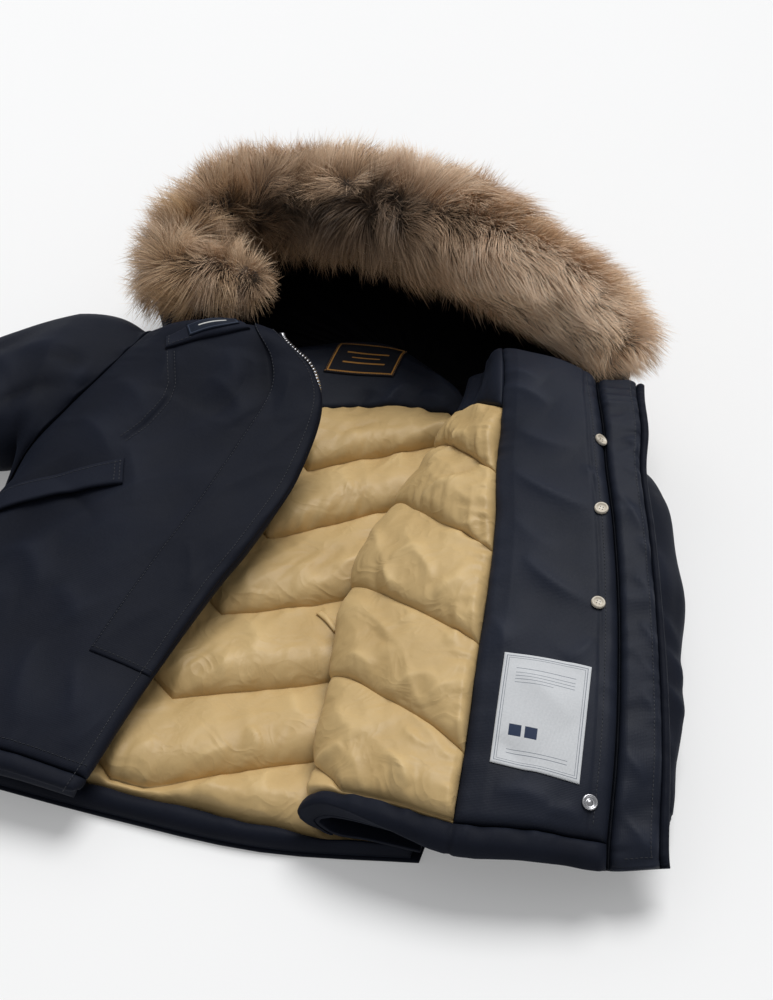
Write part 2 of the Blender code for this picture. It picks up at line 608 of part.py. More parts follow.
def sleeve_rings(rows, armhole):
    """Flattened rings along a sleeve, flat where they lie on the floor, outer and inner."""
    table = np.array(list(rows.values()))
    places = np.linspace(0, 1, SLEEVE_RINGS)
    table = np.einsum("pr,rc->pc", spread(np.linspace(0, 1, len(table)), places), table)
    outer = []
    inner = []
    for index, (x, y, turn, half_width, half_height) in enumerate(table):
        ripple = 1 + 0.025 * math.sin(index * 2.1) * min(1.0, index / 3)
        across = np.array([math.cos(math.radians(turn)), math.sin(math.radians(turn)), 0.0])
        share = max(0.0, 1.0 - index / ARMHOLE_RINGS)
        for side in range(SLEEVE_SIDES):
            angle = 2 * math.pi * side / SLEEVE_SIDES
            c = math.cos(angle)
            s = math.sin(angle)
            # A squarish oval: broad and flat above and below, round at the sides.
            wide = math.copysign(abs(c) ** OVAL[0], c)
            tall = math.copysign(abs(s) ** OVAL[1], s)
            point = np.array([x, y, half_height]) * CM
            point += across * half_width * CM * ripple * wide
            point[2] += half_height * CM * ripple * tall
            point = mix(point, armhole[side], share)
            point[2] = max(point[2], 0.0)
            inwards = across * c * (1 - share) + np.array([0.0, c, 0.0]) * share
            inwards = (inwards + (0.0, 0.0, s)) * SLEEVE_WALL
            outer.append(point)
            inner.append(point - inwards)
    shape = (SLEEVE_RINGS, SLEEVE_SIDES, 3)
    outer = np.reshape(outer, shape)
    inner = np.reshape(inner, shape)
    inner[..., 2] = np.maximum(inner[..., 2], outer[..., 2].min() + SLEEVE_WALL)
    return outer, inner


def build_sleeves(back, left, right):
    edge = back.rows
    ring = armhole_ring(
        back, left, 0.0, (left.rows["back_seam"], left.rows["side"]), (edge["chest"], edge["neck"])
    )
    outer, inner = sleeve_rings(LEFT_SLEEVE, ring)
    tube("left_sleeve", outer, NAVY, inner=inner)
    ring = armhole_ring(
        back, right, 1.0, (right.rows["neck"], right.rows["armpit"]), (edge["chest"], edge["neck"])
    )
    outer, inner = sleeve_rings(RIGHT_SLEEVE, ring)
    tube("right_sleeve", outer, NAVY, inner=inner)


# The ruff, from the wearer's right end of the hood to the left. Columns: centre x, y, z and
# radius.
RUFF = {
    "right_end": (-9.4, 16.2, 9.0, 1.6),
    "right_tip": (-11.4, 15.9, 9.0, 2.9),
    "right_lobe": (-14.3, 15.3, 9.0, 3.5),
    "right_turn": (-17.0, 14.8, 9.3, 3.8),
    "right_rise": (-17.6, 19.5, 9.7, 3.5),
    "right_top": (-15.8, 23.5, 10.4, 3.9),
    "top_right": (-11.9, 25.4, 10.9, 4.6),
    "top": (-7.1, 26.4, 11.4, 5.2),
    "top_left": (-1.4, 27.2, 11.5, 5.8),
    "left_top": (5.2, 26.5, 11.5, 6.1),
    "left_turn": (12.4, 24.1, 11.0, 5.7),
    "left_low": (18.8, 21.7, 10.6, 4.8),
    "left_tip": (22.2, 19.8, 10.3, 3.4),
    "left_end": (23.5, 18.3, 10.1, 1.9),
}
RUFF_SIDES = 16
RUFF_RINGS = 27

# The hood, from under the ruff out to the floor and back in to the neck seam.
HOOD_LINES = ("back", "floor", "inner")
HOOD_ROWS = {
    "right_tip": ((-11.8, 14.6, 3.6), (-11.6, 15.0, 1.1), (-9.8, 16.6, 0.40)),
    "right_lobe": ((-15.2, 13.9, 3.2), (-14.8, 14.5, 0.95), (-11.8, 17.0, 0.40)),
    "right_turn": ((-18.6, 14.8, 3.2), (-17.6, 15.4, 0.85), (-12.8, 18.2, 0.40)),
    "right_rise": ((-20.2, 21.2, 3.2), (-19.2, 21.2, 0.80), (-12.6, 20.8, 0.40)),
    "right_top": ((-18.8, 26.8, 3.6), (-17.6, 26.2, 0.80), (-11.0, 23.0, 0.40)),
    "top_right": ((-14.0, 30.4, 3.9), (-13.2, 29.4, 0.80), (-8.2, 24.8, 0.40)),
    "top": ((-7.8, 32.4, 4.1), (-7.4, 31.2, 0.80), (-4.6, 26.2, 0.40)),
    "top_left": ((-0.8, 33.4, 4.2), (-0.8, 32.2, 0.80), (-0.4, 27.0, 0.40)),
    "left_top": ((7.2, 32.4, 4.2), (6.8, 31.2, 0.80), (4.4, 26.4, 0.40)),
    "left_turn": ((15.0, 29.2, 3.9), (14.0, 28.2, 0.80), (9.0, 24.2, 0.40)),
    "left_low": ((20.2, 25.0, 3.6), (19.2, 24.4, 0.90), (12.8, 21.4, 0.40)),
    "left_tip": ((22.4, 20.0, 3.8), (21.4, 19.8, 1.1), (15.2, 18.4, 0.40)),
}
HOOD_ACROSS = (0.0, 0.08, 0.22, 0.36, 0.7, 1.0)
NECK_SEAM = (0.28, 0.78)
RIM_GAP = 0.0009
HOOD_RINGS = slice(2, 25)


def ruff_table():
    table = np.array(list(RUFF.values())) * CM
    places = np.linspace(0, 1, RUFF_RINGS)
    return np.einsum("pr,rc->pc", spread(np.linspace(0, 1, len(table)), places), table)


def build_ruff():
    table = ruff_table()
    rings = []
    for index, (x, y, z, radius) in enumerate(table):
        ahead = table[min(index + 1, RUFF_RINGS - 1), :3]
        behind = table[max(index - 1, 0), :3]
        along = (ahead - behind) / np.linalg.norm(ahead - behind)
        across = np.cross(along, (0, 0, 1.0))
        across /= np.linalg.norm(across)
        over = np.cross(across, along)
        ring = []
        for side in range(RUFF_SIDES):
            angle = 2 * math.pi * side / RUFF_SIDES
            away = across * math.cos(angle) + over * math.sin(angle)
            ring.append(np.array([x, y, z]) + radius * away)
        rings.append(ring)
    tube("fur_ruff", np.array(rings), FUR, roughness=0.9)


def hood_panel(back):
    """The hood's surface, one row under each ring of the ruff between its two tips."""
    ruff = ruff_table()
    path = np.gradient(ruff[:, :2], axis=0)[HOOD_RINGS]
    rings = ruff[HOOD_RINGS]
    table = np.array(list(HOOD_ROWS.values())) * CM
    places = np.linspace(0, 1, len(rings))
    table = np.einsum("pr,rkx->pkx", spread(np.linspace(0, 1, len(table)), places), table)
    rows = []
    for ring, (ahead, aside), (outer, floor, inner), place in zip(rings, path, table, places):
        x, y, z, radius = ring
        away = np.array([-aside, ahead, 0.0]) / math.hypot(ahead, aside)
        down = away * 0.34 - np.array([0, 0, 0.94])
        rim = np.array([x, y, z]) + down * (radius + RIM_GAP)
        u = np.array(NECK_SEAM[0] + (NECK_SEAM[1] - NECK_SEAM[0]) * place)
        seam = back.at(u, np.array(1.0))
        beyond = seam - back.at(u, np.array(0.98))
        seam = seam + beyond / np.linalg.norm(beyond) * 0.0008
        seam[2] = HOOD_WALL + 0.0004
        rows.append([rim, rim + down * 0.009, outer, floor, inner, seam])
    lines = ("rim", "drop") + HOOD_LINES + ("neck",)
    return Panel(rows, lines, range(len(rows)), HOOD_ACROSS)


def build_hood(back):
    hood = hood_panel(back)
    across = (0.0, 0.04, 0.08, 0.13, 0.18, 0.22, 0.26, 0.31, 0.36, 0.48, 0.6, 0.8, 1.0)
    u, v = grid(across, hood.along)
    cloth("hood_shell", hood, u, v, -HOOD_WALL, 0.0, NAVY)
    cloth("hood_lining", hood, u, v, LAYER_GAP, LAYER_GAP + HOOD_LINING, BLACK_NAVY)


def disc(name, panel, support, place, radius, height, colour, guess, **look):
    """A low round button that stands on a solid of a panel, its rim rounded."""
    u, v = panel.find(place[0] * CM, place[1] * CM, guess)
    point = panel.at(np.array(u), np.array(v))
    normal = panel.normal(np.array(u), np.array(v))
    side = np.cross(normal, (0, 1.0, 0))
    side /= np.linalg.norm(side)
    other = np.cross(normal, side)
    tree = surface_of(support)
    base = 0.0
    for angle in np.linspace(0, 2 * math.pi, 12, endpoint=False):
        for share in (0.0, 0.6, 1.0):
            spot = point + (side * math.cos(angle) + other * math.sin(angle)) * radius * share
            hit = tree.ray_cast(spot + normal * 0.05, -normal)[0]
            if hit is not None:
                base = max(base, np.dot(np.array(hit) - point, normal) + SEAM_GAP)
    rings = []
    for share, lift in ((0.86, 0.0), (1.0, 0.25), (1.0, 0.75), (0.84, 1.0), (0.5, 0.82)):
        ring = []
        for index in range(16):
            angle = 2 * math.pi * index / 16
            away = side * math.cos(angle) + other * math.sin(angle)
            ring.append(point + normal * (base + height * lift) + away * radius * share)
        rings.append(ring)
    return tube(name, np.array(rings), colour, **look)


def patch(name, panel, corners, low, high, colour, guess, columns=6, rows=5, **look):
    """A piece sewn on a panel between four plan corners, given round from lower left."""
    spots = [panel.find(x * CM, y * CM, guess) for x, y in corners]
    s, t = grid(np.linspace(0, 1, columns), np.linspace(0, 1, rows))
    shares = ((1 - s) * (1 - t), s * (1 - t), s * t, (1 - s) * t)
    u = sum(share * spot[0] for share, spot in zip(shares, spots))
    v = sum(share * spot[1] for share, spot in zip(shares, spots))
    return cloth(name, panel, u, v, low, high, colour, **look)


def main():
    for thing in list(bpy.data.objects):
        bpy.data.objects.remove(thing, do_unlink=True)
    back = back_panel()
    left = left_panel()
    right = right_panel()
    build_back(back)
    build_left_front(left)
    build_right_front(right)
    build_sleeves(back, left, right)
    build_hood(back)
    build_ruff()


main()
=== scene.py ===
import math

import bpy
import numpy as np
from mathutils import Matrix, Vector, kdtree
from mathutils.bvhtree import BVHTree


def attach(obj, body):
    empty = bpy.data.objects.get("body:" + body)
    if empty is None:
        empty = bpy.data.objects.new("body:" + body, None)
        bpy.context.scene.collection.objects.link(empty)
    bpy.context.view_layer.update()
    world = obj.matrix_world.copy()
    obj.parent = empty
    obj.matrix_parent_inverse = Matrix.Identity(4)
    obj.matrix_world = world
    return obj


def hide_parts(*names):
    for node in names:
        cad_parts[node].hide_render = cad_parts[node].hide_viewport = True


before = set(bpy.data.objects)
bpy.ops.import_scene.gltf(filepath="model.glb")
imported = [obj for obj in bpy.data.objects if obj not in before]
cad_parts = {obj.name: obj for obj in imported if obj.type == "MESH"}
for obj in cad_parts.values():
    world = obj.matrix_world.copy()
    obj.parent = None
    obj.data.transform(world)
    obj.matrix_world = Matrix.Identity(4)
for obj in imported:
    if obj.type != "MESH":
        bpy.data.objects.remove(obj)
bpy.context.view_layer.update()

# Metres, with the origin on the floor under the centre back. Tables are in centimetres.
cm = 0.01
seamGap = 0.0003
layerGap = 0.0005
shell = 0.0030
pad = 0.0110
facingPad = 0.0110
flyPad = 0.0080
hemPad = 0.0120
sleeveWall = 0.0070
hoodWall = 0.0030
armholeRings = 2.5 / 14
armholeGap = 0.0012

# The back on the floor: plan points (x, y) of five lines that run from hem to neck.
backLines = ("left", "leftMid", "centre", "rightMid", "right")
backRows = {
    "hem": ((-25.8, -36.4), (-12.0, -35.6), (0.0, -34.7), (12.0, -33.2), (23.6, -29.6)),
    "hip": ((-25.0, -25.0), (-12.0, -24.2), (0.0, -23.4), (11.5, -21.8), (22.8, -19.4)),
    "chest": ((-23.0, -11.0), (-11.5, -10.6), (0.0, -10.0), (10.5, -9.2), (20.4, -8.4)),
    "blade": ((-19.4, -1.0), (-10.0, -0.8), (0.0, 0.0), (8.0, 0.4), (15.6, 0.6)),
    "yoke": ((-17.5, 5.4), (-9.4, 8.4), (0.0, 11.0), (8.4, 10.0), (16.9, 6.0)),
    "neck": ((-16.4, 9.0), (-8.4, 16.6), (-0.4, 21.2), (7.8, 18.4), (15.8, 11.2)),
}

# The closed front, outer face up: centre front edge, crown of the panel, shoulder of the
# side fold, and the side seam, which becomes the armhole from "armpit" on.
leftRows = {
    "hem": ((-2.0, -36.1, 3.7), (-12.5, -37.0, 4.1), (-23.6, -37.0, 3.0), (-25.7, -36.5, 0.7)),
    "band": ((-1.5, -34.5, 4.5), (-12.3, -35.1, 5.0), (-23.4, -35.2, 3.6), (-25.6, -34.9, 0.7)),
    "hip": ((-0.9, -24.7, 5.1), (-12.0, -25.0, 5.9), (-22.8, -25.1, 4.2), (-24.9, -25.2, 0.7)),
    "waist": ((0.3, -15.1, 6.0), (-11.6, -15.2, 6.8), (-21.6, -15.4, 4.8), (-23.5, -15.6, 0.7)),
    "side": ((1.1, -10.8, 6.4), (-11.2, -11.0, 7.2), (-20.6, -11.0, 5.8), (-22.4, -11.2, 1.8)),
    "armpit": ((1.6, -6.2, 6.7), (-10.8, -6.6, 7.5), (-18.9, -6.6, 7.2), (-21.0, -6.8, 5.8)),
    "chest": ((1.8, -1.3, 7.0), (-10.4, -1.8, 7.9), (-17.4, -2.2, 8.0), (-19.5, -2.2, 7.2)),
    "yoke": ((1.1, 5.0, 8.0), (-8.8, 3.8, 8.8), (-15.8, 2.4, 8.8), (-18.1, 2.2, 8.0)),
    "neck": ((-1.0, 8.2, 9.0), (-8.8, 7.2, 9.5), (-14.8, 6.2, 9.3), (-17.1, 6.0, 8.4)),
    "shoulder": ((-5.4, 10.8, 9.5), (-9.8, 10.2, 9.6), (-13.8, 9.2, 9.2), (-16.4, 8.6, 7.8)),
    "backSeam": ((-7.6, 15.0, 4.6), (-10.6, 13.2, 4.6), (-13.8, 11.2, 4.2), (-16.0, 10.0, 3.2)),
}

# The opened front, lining up: side seam under the fold, the fold itself, the seam between
# lining and facing, the zip line and the outer edge of the fly.
rightLines = ("side", "fold", "seam", "zip", "edge")
rightRows = {
    "hem": ((23.8, -29.9, 1.9), (15.7, -31.0, 3.2), (26.3, -30.3, 4.1),
            (37.4, -27.2, 3.4), (41.7, -25.1, 3.2)),
    "band": ((23.6, -28.2, 1.9), (15.3, -29.4, 3.3), (26.0, -28.9, 5.4),
             (36.9, -25.8, 4.6), (41.1, -23.8, 4.1)),
    "hip": ((23.0, -20.6, 1.9), (13.4, -22.4, 3.2), (24.5, -21.9, 6.9),
            (35.3, -19.6, 6.8), (39.2, -18.0, 6.2)),
    "waist": ((21.8, -13.6, 1.9), (11.7, -15.8, 3.2), (22.9, -15.5, 7.6),
              (33.4, -13.4, 8.0), (37.0, -12.0, 7.7)),
    "armpit": ((20.2, -8.4, 1.9), (10.2, -9.2, 3.2), (21.4, -9.0, 8.1),
               (31.2, -7.0, 9.0), (34.5, -5.8, 8.8)),
    "chest": ((15.0, -2.2, 1.9), (9.8, -2.0, 3.3), (19.6, -2.4, 8.5),
              (28.6, -0.4, 9.8), (31.9, 0.4, 9.6)),
    "blade": ((14.6, 4.0, 2.0), (10.6, 4.6, 3.4), (17.6, 3.4, 8.7),
              (26.1, 5.2, 10.1), (29.3, 6.2, 10.0)),
    "yoke": ((14.2, 8.4, 2.2), (11.0, 9.2, 3.8), (16.4, 7.8, 9.0),
             (24.4, 9.4, 10.3), (28.1, 10.4, 10.3)),
    "neck": ((13.6, 12.0, 2.6), (11.0, 13.0, 4.2), (15.0, 12.4, 9.5),
             (22.9, 12.6, 10.3), (26.7, 13.8, 10.2)),
    "collar": ((13.0, 15.2, 3.2), (10.6, 16.4, 4.6), (13.4, 16.2, 9.2),
               (22.0, 14.8, 9.8), (25.9, 16.2, 9.8)),
}


def spread(knots, places):
    # weights of a smooth curve through the knots, straight beyond both ends
    knots = np.asarray(knots, float)
    places = np.asarray(places, float)
    last = len(knots) - 1
    index = np.clip(np.searchsorted(knots, places, side="right") - 1, 0, last - 1)
    width = knots[index + 1] - knots[index]
    s = (places - knots[index]) / width
    slopes = np.zeros((last + 1, last + 1))
    for i in range(last + 1):
        low = max(i - 1, 0)
        high = min(i + 1, last)
        slopes[i, high] += 1.0 / (knots[high] - knots[low])
        slopes[i, low] -= 1.0 / (knots[high] - knots[low])
    identity = np.eye(last + 1)
    start = 2 * s**3 - 3 * s**2 + 1
    startSlope = s**3 - 2 * s**2 + s
    end = -2 * s**3 + 3 * s**2
    endSlope = s**3 - s**2
    before = s < 0
    after = s > 1
    start = np.where(before, 1.0, np.where(after, 0.0, start))
    end = np.where(before, 0.0, np.where(after, 1.0, end))
    startSlope = np.where(before, s, np.where(after, 0.0, startSlope))
    endSlope = np.where(before, 0.0, np.where(after, s - 1, endSlope))
    return (
        start[..., None] * identity[index]
        + end[..., None] * identity[index + 1]
        + (startSlope * width)[..., None] * slopes[index]
        + (endSlope * width)[..., None] * slopes[index + 1]
    )


class Panel:
    def __init__(self, rows, lines, stations, across):
        self.points = np.array(rows, float)
        self.lines = dict(zip(lines, across))
        self.rows = dict(zip(stations, np.linspace(0.0, 1.0, len(stations))))
        self.across = np.array(across, float)
        self.along = np.linspace(0.0, 1.0, len(stations))
        middle = self.at(np.linspace(0, 1, 40), np.full(40, 0.5))
        self.width = np.linalg.norm(np.diff(middle, axis=0), axis=1).sum()
        middle = self.at(np.full(40, 0.5), np.linspace(0, 1, 40))
        self.length = np.linalg.norm(np.diff(middle, axis=0), axis=1).sum()

    def at(self, u, v):
        return np.einsum("...r,...c,rcx->...x", spread(self.along, v), spread(self.across, u), self.points)

    def girth(self, share):
        # centimetres for a share of the width
        return share * self.width / cm

    def run(self, share):
        # centimetres for a share of the length
        return share * self.length / cm

    def normal(self, u, v):
        step = 0.002
        overU = self.at(u + step, v) - self.at(u - step, v)
        overV = self.at(u, v + step) - self.at(u, v - step)
        cross = np.cross(overU, overV)
        return cross / np.linalg.norm(cross, axis=-1, keepdims=True)


def grid(uValues, vValues):
    u, v = np.meshgrid(np.asarray(uValues, float), np.asarray(vValues, float))
    return u, v


def planOf(place):
    # x and y in centimetres
    return place[..., 0] / cm, place[..., 1] / cm


def mix(a, b, t):
    return np.asarray(a, float) * (1 - t) + np.asarray(b, float) * t


def backPanel():
    rows = []
    for row in backRows.values():
        rows.append([(x * cm, y * cm, shell) for x, y in row])
    return Panel(rows, backLines, backRows, (0.0, 0.27, 0.5, 0.75, 1.0))


def leftPanel():
    rows = []
    for edge, crown, fold, seam in leftRows.values():
        fly = mix(edge, crown, 0.48) + (0, 0, 0.3)
        half = mix(crown, fold, 0.55) + (0, 0, 0.4)
        rows.append([seam, fold, half, crown, fly, edge])
    lines = ("seam", "fold", "half", "crown", "fly", "edge")
    return Panel(np.array(rows) * cm, lines, leftRows, (0.0, 0.12, 0.33, 0.55, 0.79, 1.0))


def rightPanel():
    rows = []
    for side, fold, seam, zipper, edge in rightRows.values():
        under = mix(fold, side, 0.5)
        under[2] = side[2] + 0.15
        lip = np.array(fold) + (1.5, 0.0, -0.95)
        crest = np.array(fold) + (1.3, 0.1, 1.25)
        lining = mix(crest, seam, 0.5) + (0, 0, 0.35)
        facing = mix(seam, zipper, 0.5) + (0, 0, 0.35)
        rows.append([side, under, lip, fold, crest, lining, seam, facing, zipper, edge])
    lines = ("side", "under", "lip", "fold", "crest", "lining", "seam", "facing", "zip", "edge")
    across = (0.0, 0.11, 0.2, 0.245, 0.29, 0.42, 0.54, 0.72, 0.9, 1.0)
    return Panel(np.array(rows) * cm, lines, rightRows, across)


backStitches = ((-32.6, 0.7), (-23.1, 0.6), (-13.8, 0.6), (-4.6, 0.6), (3.9, 0.6))
backLiningHem = ((-25, -33.7), (-12, -33.2), (0, -32.5), (8, -31.6), (14, -30.7), (18, -29.3), (24, -27.3))
backLiningTop = ((-20, 6.6), (-1.6, 11.9), (6.4, 14.7), (16, 15.4))
rightStitches = ((-26.1, -31.6), (-17.9, -23.6), (-8.8, -14.2), (0.7, -5.3), (7.9, 2.7))

pocketFlap = ((-20.4, -14.2), (-10.9, -8.7), (-11.9, -6.3), (-21.0, -12.0))
hoodTab = ((-13.6, 5.3), (-7.6, 9.8), (-9.3, 11.0), (-14.2, 6.6))
tabPatch = ((-12.0, 6.9), (-8.6, 9.8), (-9.4, 10.6), (-12.8, 7.9))
insideLabel = ((27.0, -24.1), (33.8, -23.4), (31.5, -14.1), (24.8, -15.0))
neckLabel = ((-3.2, 15.1), (2.9, 16.8), (2.8, 20.6), (-3.3, 19.2))
liningTab = ((7.3, -11.1), (9.6, -12.8), (9.9, -12.4), (7.6, -10.7))
buttons = ((24.9, 7.5), (27.3, 0.4), (30.0, -8.3))
snap = (34.9, -24.2)


def planY(table, x):
    return np.interp(x, [p[0] for p in table], [p[1] for p in table])


def rowForY(panel, u, y):
    steps = np.linspace(-0.05, 1.05, 200)
    heights = panel.at(np.full(200, u), steps)[:, 1]
    return np.interp(y, heights, steps)


def foldLine():
    fold = rightLines.index("fold")
    points = [row[fold] for row in rightRows.values()]
    return [p[1] * cm for p in points], [p[0] * cm for p in points]


# Sleeves: centre x, y, direction of the outer side in degrees, half width, half height.

leftSleeve = {
    "armhole": (-19.45, 0.3, 74.0, 8.4, 4.0),
    "cap": (-22.2, 2.3, 90.0, 8.5, 4.5),
    "upper": (-26.4, -0.6, 110.0, 6.9, 3.9),
    "bicep": (-31.8, -4.7, 121.0, 6.4, 3.5),
    "elbow": (-37.6, -9.2, 124.0, 6.2, 3.3),
    "forearm": (-43.2, -13.8, 127.0, 5.9, 3.0),
    "wrist": (-48.8, -18.4, 129.0, 5.6, 2.7),
    "cuff": (-53.6, -22.6, 130.0, 5.4, 2.4),
}
rightSleeve = {
    "armhole": (17.4, 5.5, 75.0, 8.2, 3.3),
    "cap": (21.6, 4.9, 62.0, 8.2, 3.8),
    "upper": (24.9, 3.0, 38.0, 7.8, 3.9),
    "bicep": (27.7, -2.1, 25.0, 7.3, 3.7),
    "elbow": (30.1, -7.9, 19.0, 6.9, 3.4),
    "forearm": (32.3, -14.0, 14.0, 6.4, 2.9),
    "wrist": (34.0, -18.6, 8.0, 5.9, 2.3),
    "cuff": (34.9, -21.8, 2.0, 5.5, 1.9),
}

ruff = {
    "rightEnd": (-9.4, 16.2, 9.0, 1.6),
    "rightTip": (-11.4, 15.9, 9.0, 2.9),
    "rightLobe": (-14.3, 15.3, 9.0, 3.5),
    "rightTurn": (-17.0, 14.8, 9.3, 3.8),
    "rightRise": (-17.6, 19.5, 9.7, 3.5),
    "rightTop": (-15.8, 23.5, 10.4, 3.9),
    "topRight": (-11.9, 25.4, 10.9, 4.6),
    "top": (-7.1, 26.4, 11.4, 5.2),
    "topLeft": (-1.4, 27.2, 11.5, 5.8),
    "leftTop": (5.2, 26.5, 11.5, 6.1),
    "leftTurn": (12.4, 24.1, 11.0, 5.7),
    "leftLow": (18.8, 21.7, 10.6, 4.8),
    "leftTip": (22.2, 19.8, 10.3, 3.4),
    "leftEnd": (23.5, 18.3, 10.1, 1.9),
}

hoodRows = {
    "rightTip": ((-11.8, 14.6, 3.6), (-11.6, 15.0, 1.1), (-9.8, 16.6, 0.40)),
    "rightLobe": ((-15.2, 13.9, 3.2), (-14.8, 14.5, 0.95), (-11.8, 17.0, 0.40)),
    "rightTurn": ((-18.6, 14.8, 3.2), (-17.6, 15.4, 0.85), (-12.8, 18.2, 0.40)),
    "rightRise": ((-20.2, 21.2, 3.2), (-19.2, 21.2, 0.80), (-12.6, 20.8, 0.40)),
    "rightTop": ((-18.8, 26.8, 3.6), (-17.6, 26.2, 0.80), (-11.0, 23.0, 0.40)),
    "topRight": ((-14.0, 30.4, 3.9), (-13.2, 29.4, 0.80), (-8.2, 24.8, 0.40)),
    "top": ((-7.8, 32.4, 4.1), (-7.4, 31.2, 0.80), (-4.6, 26.2, 0.40)),
    "topLeft": ((-0.8, 33.4, 4.2), (-0.8, 32.2, 0.80), (-0.4, 27.0, 0.40)),
    "leftTop": ((7.2, 32.4, 4.2), (6.8, 31.2, 0.80), (4.4, 26.4, 0.40)),
    "leftTurn": ((15.0, 29.2, 3.9), (14.0, 28.2, 0.80), (9.0, 24.2, 0.40)),
    "leftLow": ((20.2, 25.0, 3.6), (19.2, 24.4, 0.90), (12.8, 21.4, 0.40)),
    "leftTip": ((22.4, 20.0, 3.8), (21.4, 19.8, 1.1), (15.2, 18.4, 0.40)),
}
neckSeam = (0.28, 0.78)
rimGap = 0.0009


# Cloth kit: random relief, closed walls, and what every piece needs.

def rolled(distance):
    # 0 at an edge, 1 from one reach inwards, round between
    t = np.clip(distance, 0, 1)
    return np.sqrt(1 - (1 - t) ** 2)


def rimmed(low, high, count, rim):
    # even values with a few close together at both ends, where an edge rolls over
    near = rim * np.array([0.0, 0.05, 0.2, 0.5])
    return np.concatenate([low + near, np.linspace(low + rim, high - rim, count), (high - near)[::-1]])


def ripple(x, y, size, seed):
    # smooth random heights from -1 to 1, in lumps of about that size
    field = np.random.default_rng(seed).uniform(-1, 1, (83, 83))
    turn = 0.6 + seed
    s = (x * math.cos(turn) + y * math.sin(turn)) / size + 500.3
    t = (y * math.cos(turn) - x * math.sin(turn)) / size + 500.7
    i = np.floor(s).astype(int)
    j = np.floor(t).astype(int)
    s = s - i
    t = t - j
    s = s * s * (3 - 2 * s)
    t = t * t * (3 - 2 * t)
    i, j, iNext, jNext = i % 83, j % 83, (i + 1) % 83, (j + 1) % 83
    low = field[i, j] * (1 - s) + field[iNext, j] * s
    high = field[i, jNext] * (1 - s) + field[iNext, jNext] * s
    return low * (1 - t) + high * t


def wave(along, size, seed):
    # the same along one line
    field = np.random.default_rng(seed).uniform(-1, 1, 211)
    s = np.asarray(along) / size + 100.4
    i = np.floor(s).astype(int)
    s = s - i
    s = s * s * (3 - 2 * s)
    return field[i % 211] * (1 - s) + field[(i + 1) % 211] * s


def creased(x, y, table):
    # soft folds: start, end, sideways bow, half width (all cm) and height (mm), tapering out at both ends
    total = np.zeros_like(x)
    for x0, y0, x1, y1, bow, width, height in table:
        dx, dy = x1 - x0, y1 - y0
        length = math.hypot(dx, dy)
        along = ((x - x0) * dx + (y - y0) * dy) / length**2
        t = np.clip(along, 0, 1)
        aside = ((y - y0) * dx - (x - x0) * dy) / length - bow * 4 * t * (1 - t)
        spreadOut = width * (0.6 + 0.8 * t)
        total += height * 0.001 * np.exp(-np.abs(aside / spreadOut) ** 1.25) * np.sin(math.pi * t) ** 0.7
    return total


def crumpled(x, y, size, seed):
    # crisp little ridges between soft hollows, -1 to 1
    bend = 0.35 * size
    x, y = x + bend * ripple(x, y, size * 1.3, seed + 2), y + bend * ripple(x, y, size * 1.3, seed + 3)
    first = 1 - 2.6 * np.abs(ripple(x, y, size, seed))
    second = 1 - 2.6 * np.abs(ripple(x, y, size * 0.55, seed + 1))
    return np.clip(first * 0.65 + second * 0.35, -1, 1)


def draped(x, y, size, turn, seed):
    # long crisp folds that run one way
    along, across = x * math.cos(turn) + y * math.sin(turn), y * math.cos(turn) - x * math.sin(turn)
    return crumpled(along * 0.32, across, size, seed)


def gathers(along, away, size, reach, seed):
    # puckers that run out from a line of stitching, each of its own length
    fold = 1 - 1.9 * np.abs(wave(along, size, seed))
    small = 0.5 * wave(along, size * 0.41, seed + 5)
    length = reach * (0.75 + 0.5 * wave(along, size * 1.3, seed + 9))
    return (fold + small) * np.exp(-np.abs(away / length) ** 1.4)


def crumple(x, y, look):
    # folds as listed, then lumps (height, size, seed) and drapes (height, size, turn, seed)
    total = look["folds"] * creased(x, y, look["creases"])
    for height, size, seed in look["lumps"]:
        total = total + height * ripple(x, y, size, seed)
    for height, size, turn, seed in look["drapes"]:
        total = total + height * draped(x, y, size, turn, seed)
    return total


def puckered(along, away, look):
    # gathers by their height, size, reach and seed
    height, size, reach, seed = look
    return height * gathers(along, away, size, reach, seed)


def linked(name, data):
    thing = bpy.data.objects.new(name, data)
    bpy.context.collection.objects.link(thing)
    return thing


def mark(mesh, name, values, kind="FLOAT", field="value"):
    # a named value at every point
    mesh.attributes.new(name, kind, "POINT").data.foreach_set(field, np.ravel(values))


def ringNumbers(rings, sides, first=0):
    # vertex numbers round closed rings, with the first column again at the end
    number = first + np.arange(rings * sides).reshape(rings, sides)
    return np.concatenate([number, number[:, :1]], axis=1)


def caps(number, low, high):
    # triangles that close the first and the last ring, each at its pole
    sides = range(number.shape[1] - 1)
    first = [[low, int(number[0, k + 1]), int(number[0, k])] for k in sides]
    return first + [[high, int(number[-1, k]), int(number[-1, k + 1])] for k in sides]


def quads(number):
    a, b = number[:-1, :-1], number[:-1, 1:]
    c, d = number[1:, 1:], number[1:, :-1]
    return np.stack([a, b, c, d], axis=-1).reshape(-1, 4).tolist()


def kept(count, step):
    # the rows that an inner grid keeps: all near both ends, every few in between
    inner = list(range(5, count - 5, step))
    return np.array(sorted({0, 1, 2, 3, 4, *inner, *range(max(count - 5, 0), count)}))


def plainShape(name, points, faces, edges=()):
    mesh = bpy.data.meshes.new(name)
    mesh.from_pydata(points, edges, faces)
    mesh.shade_smooth()
    return linked(name, mesh)


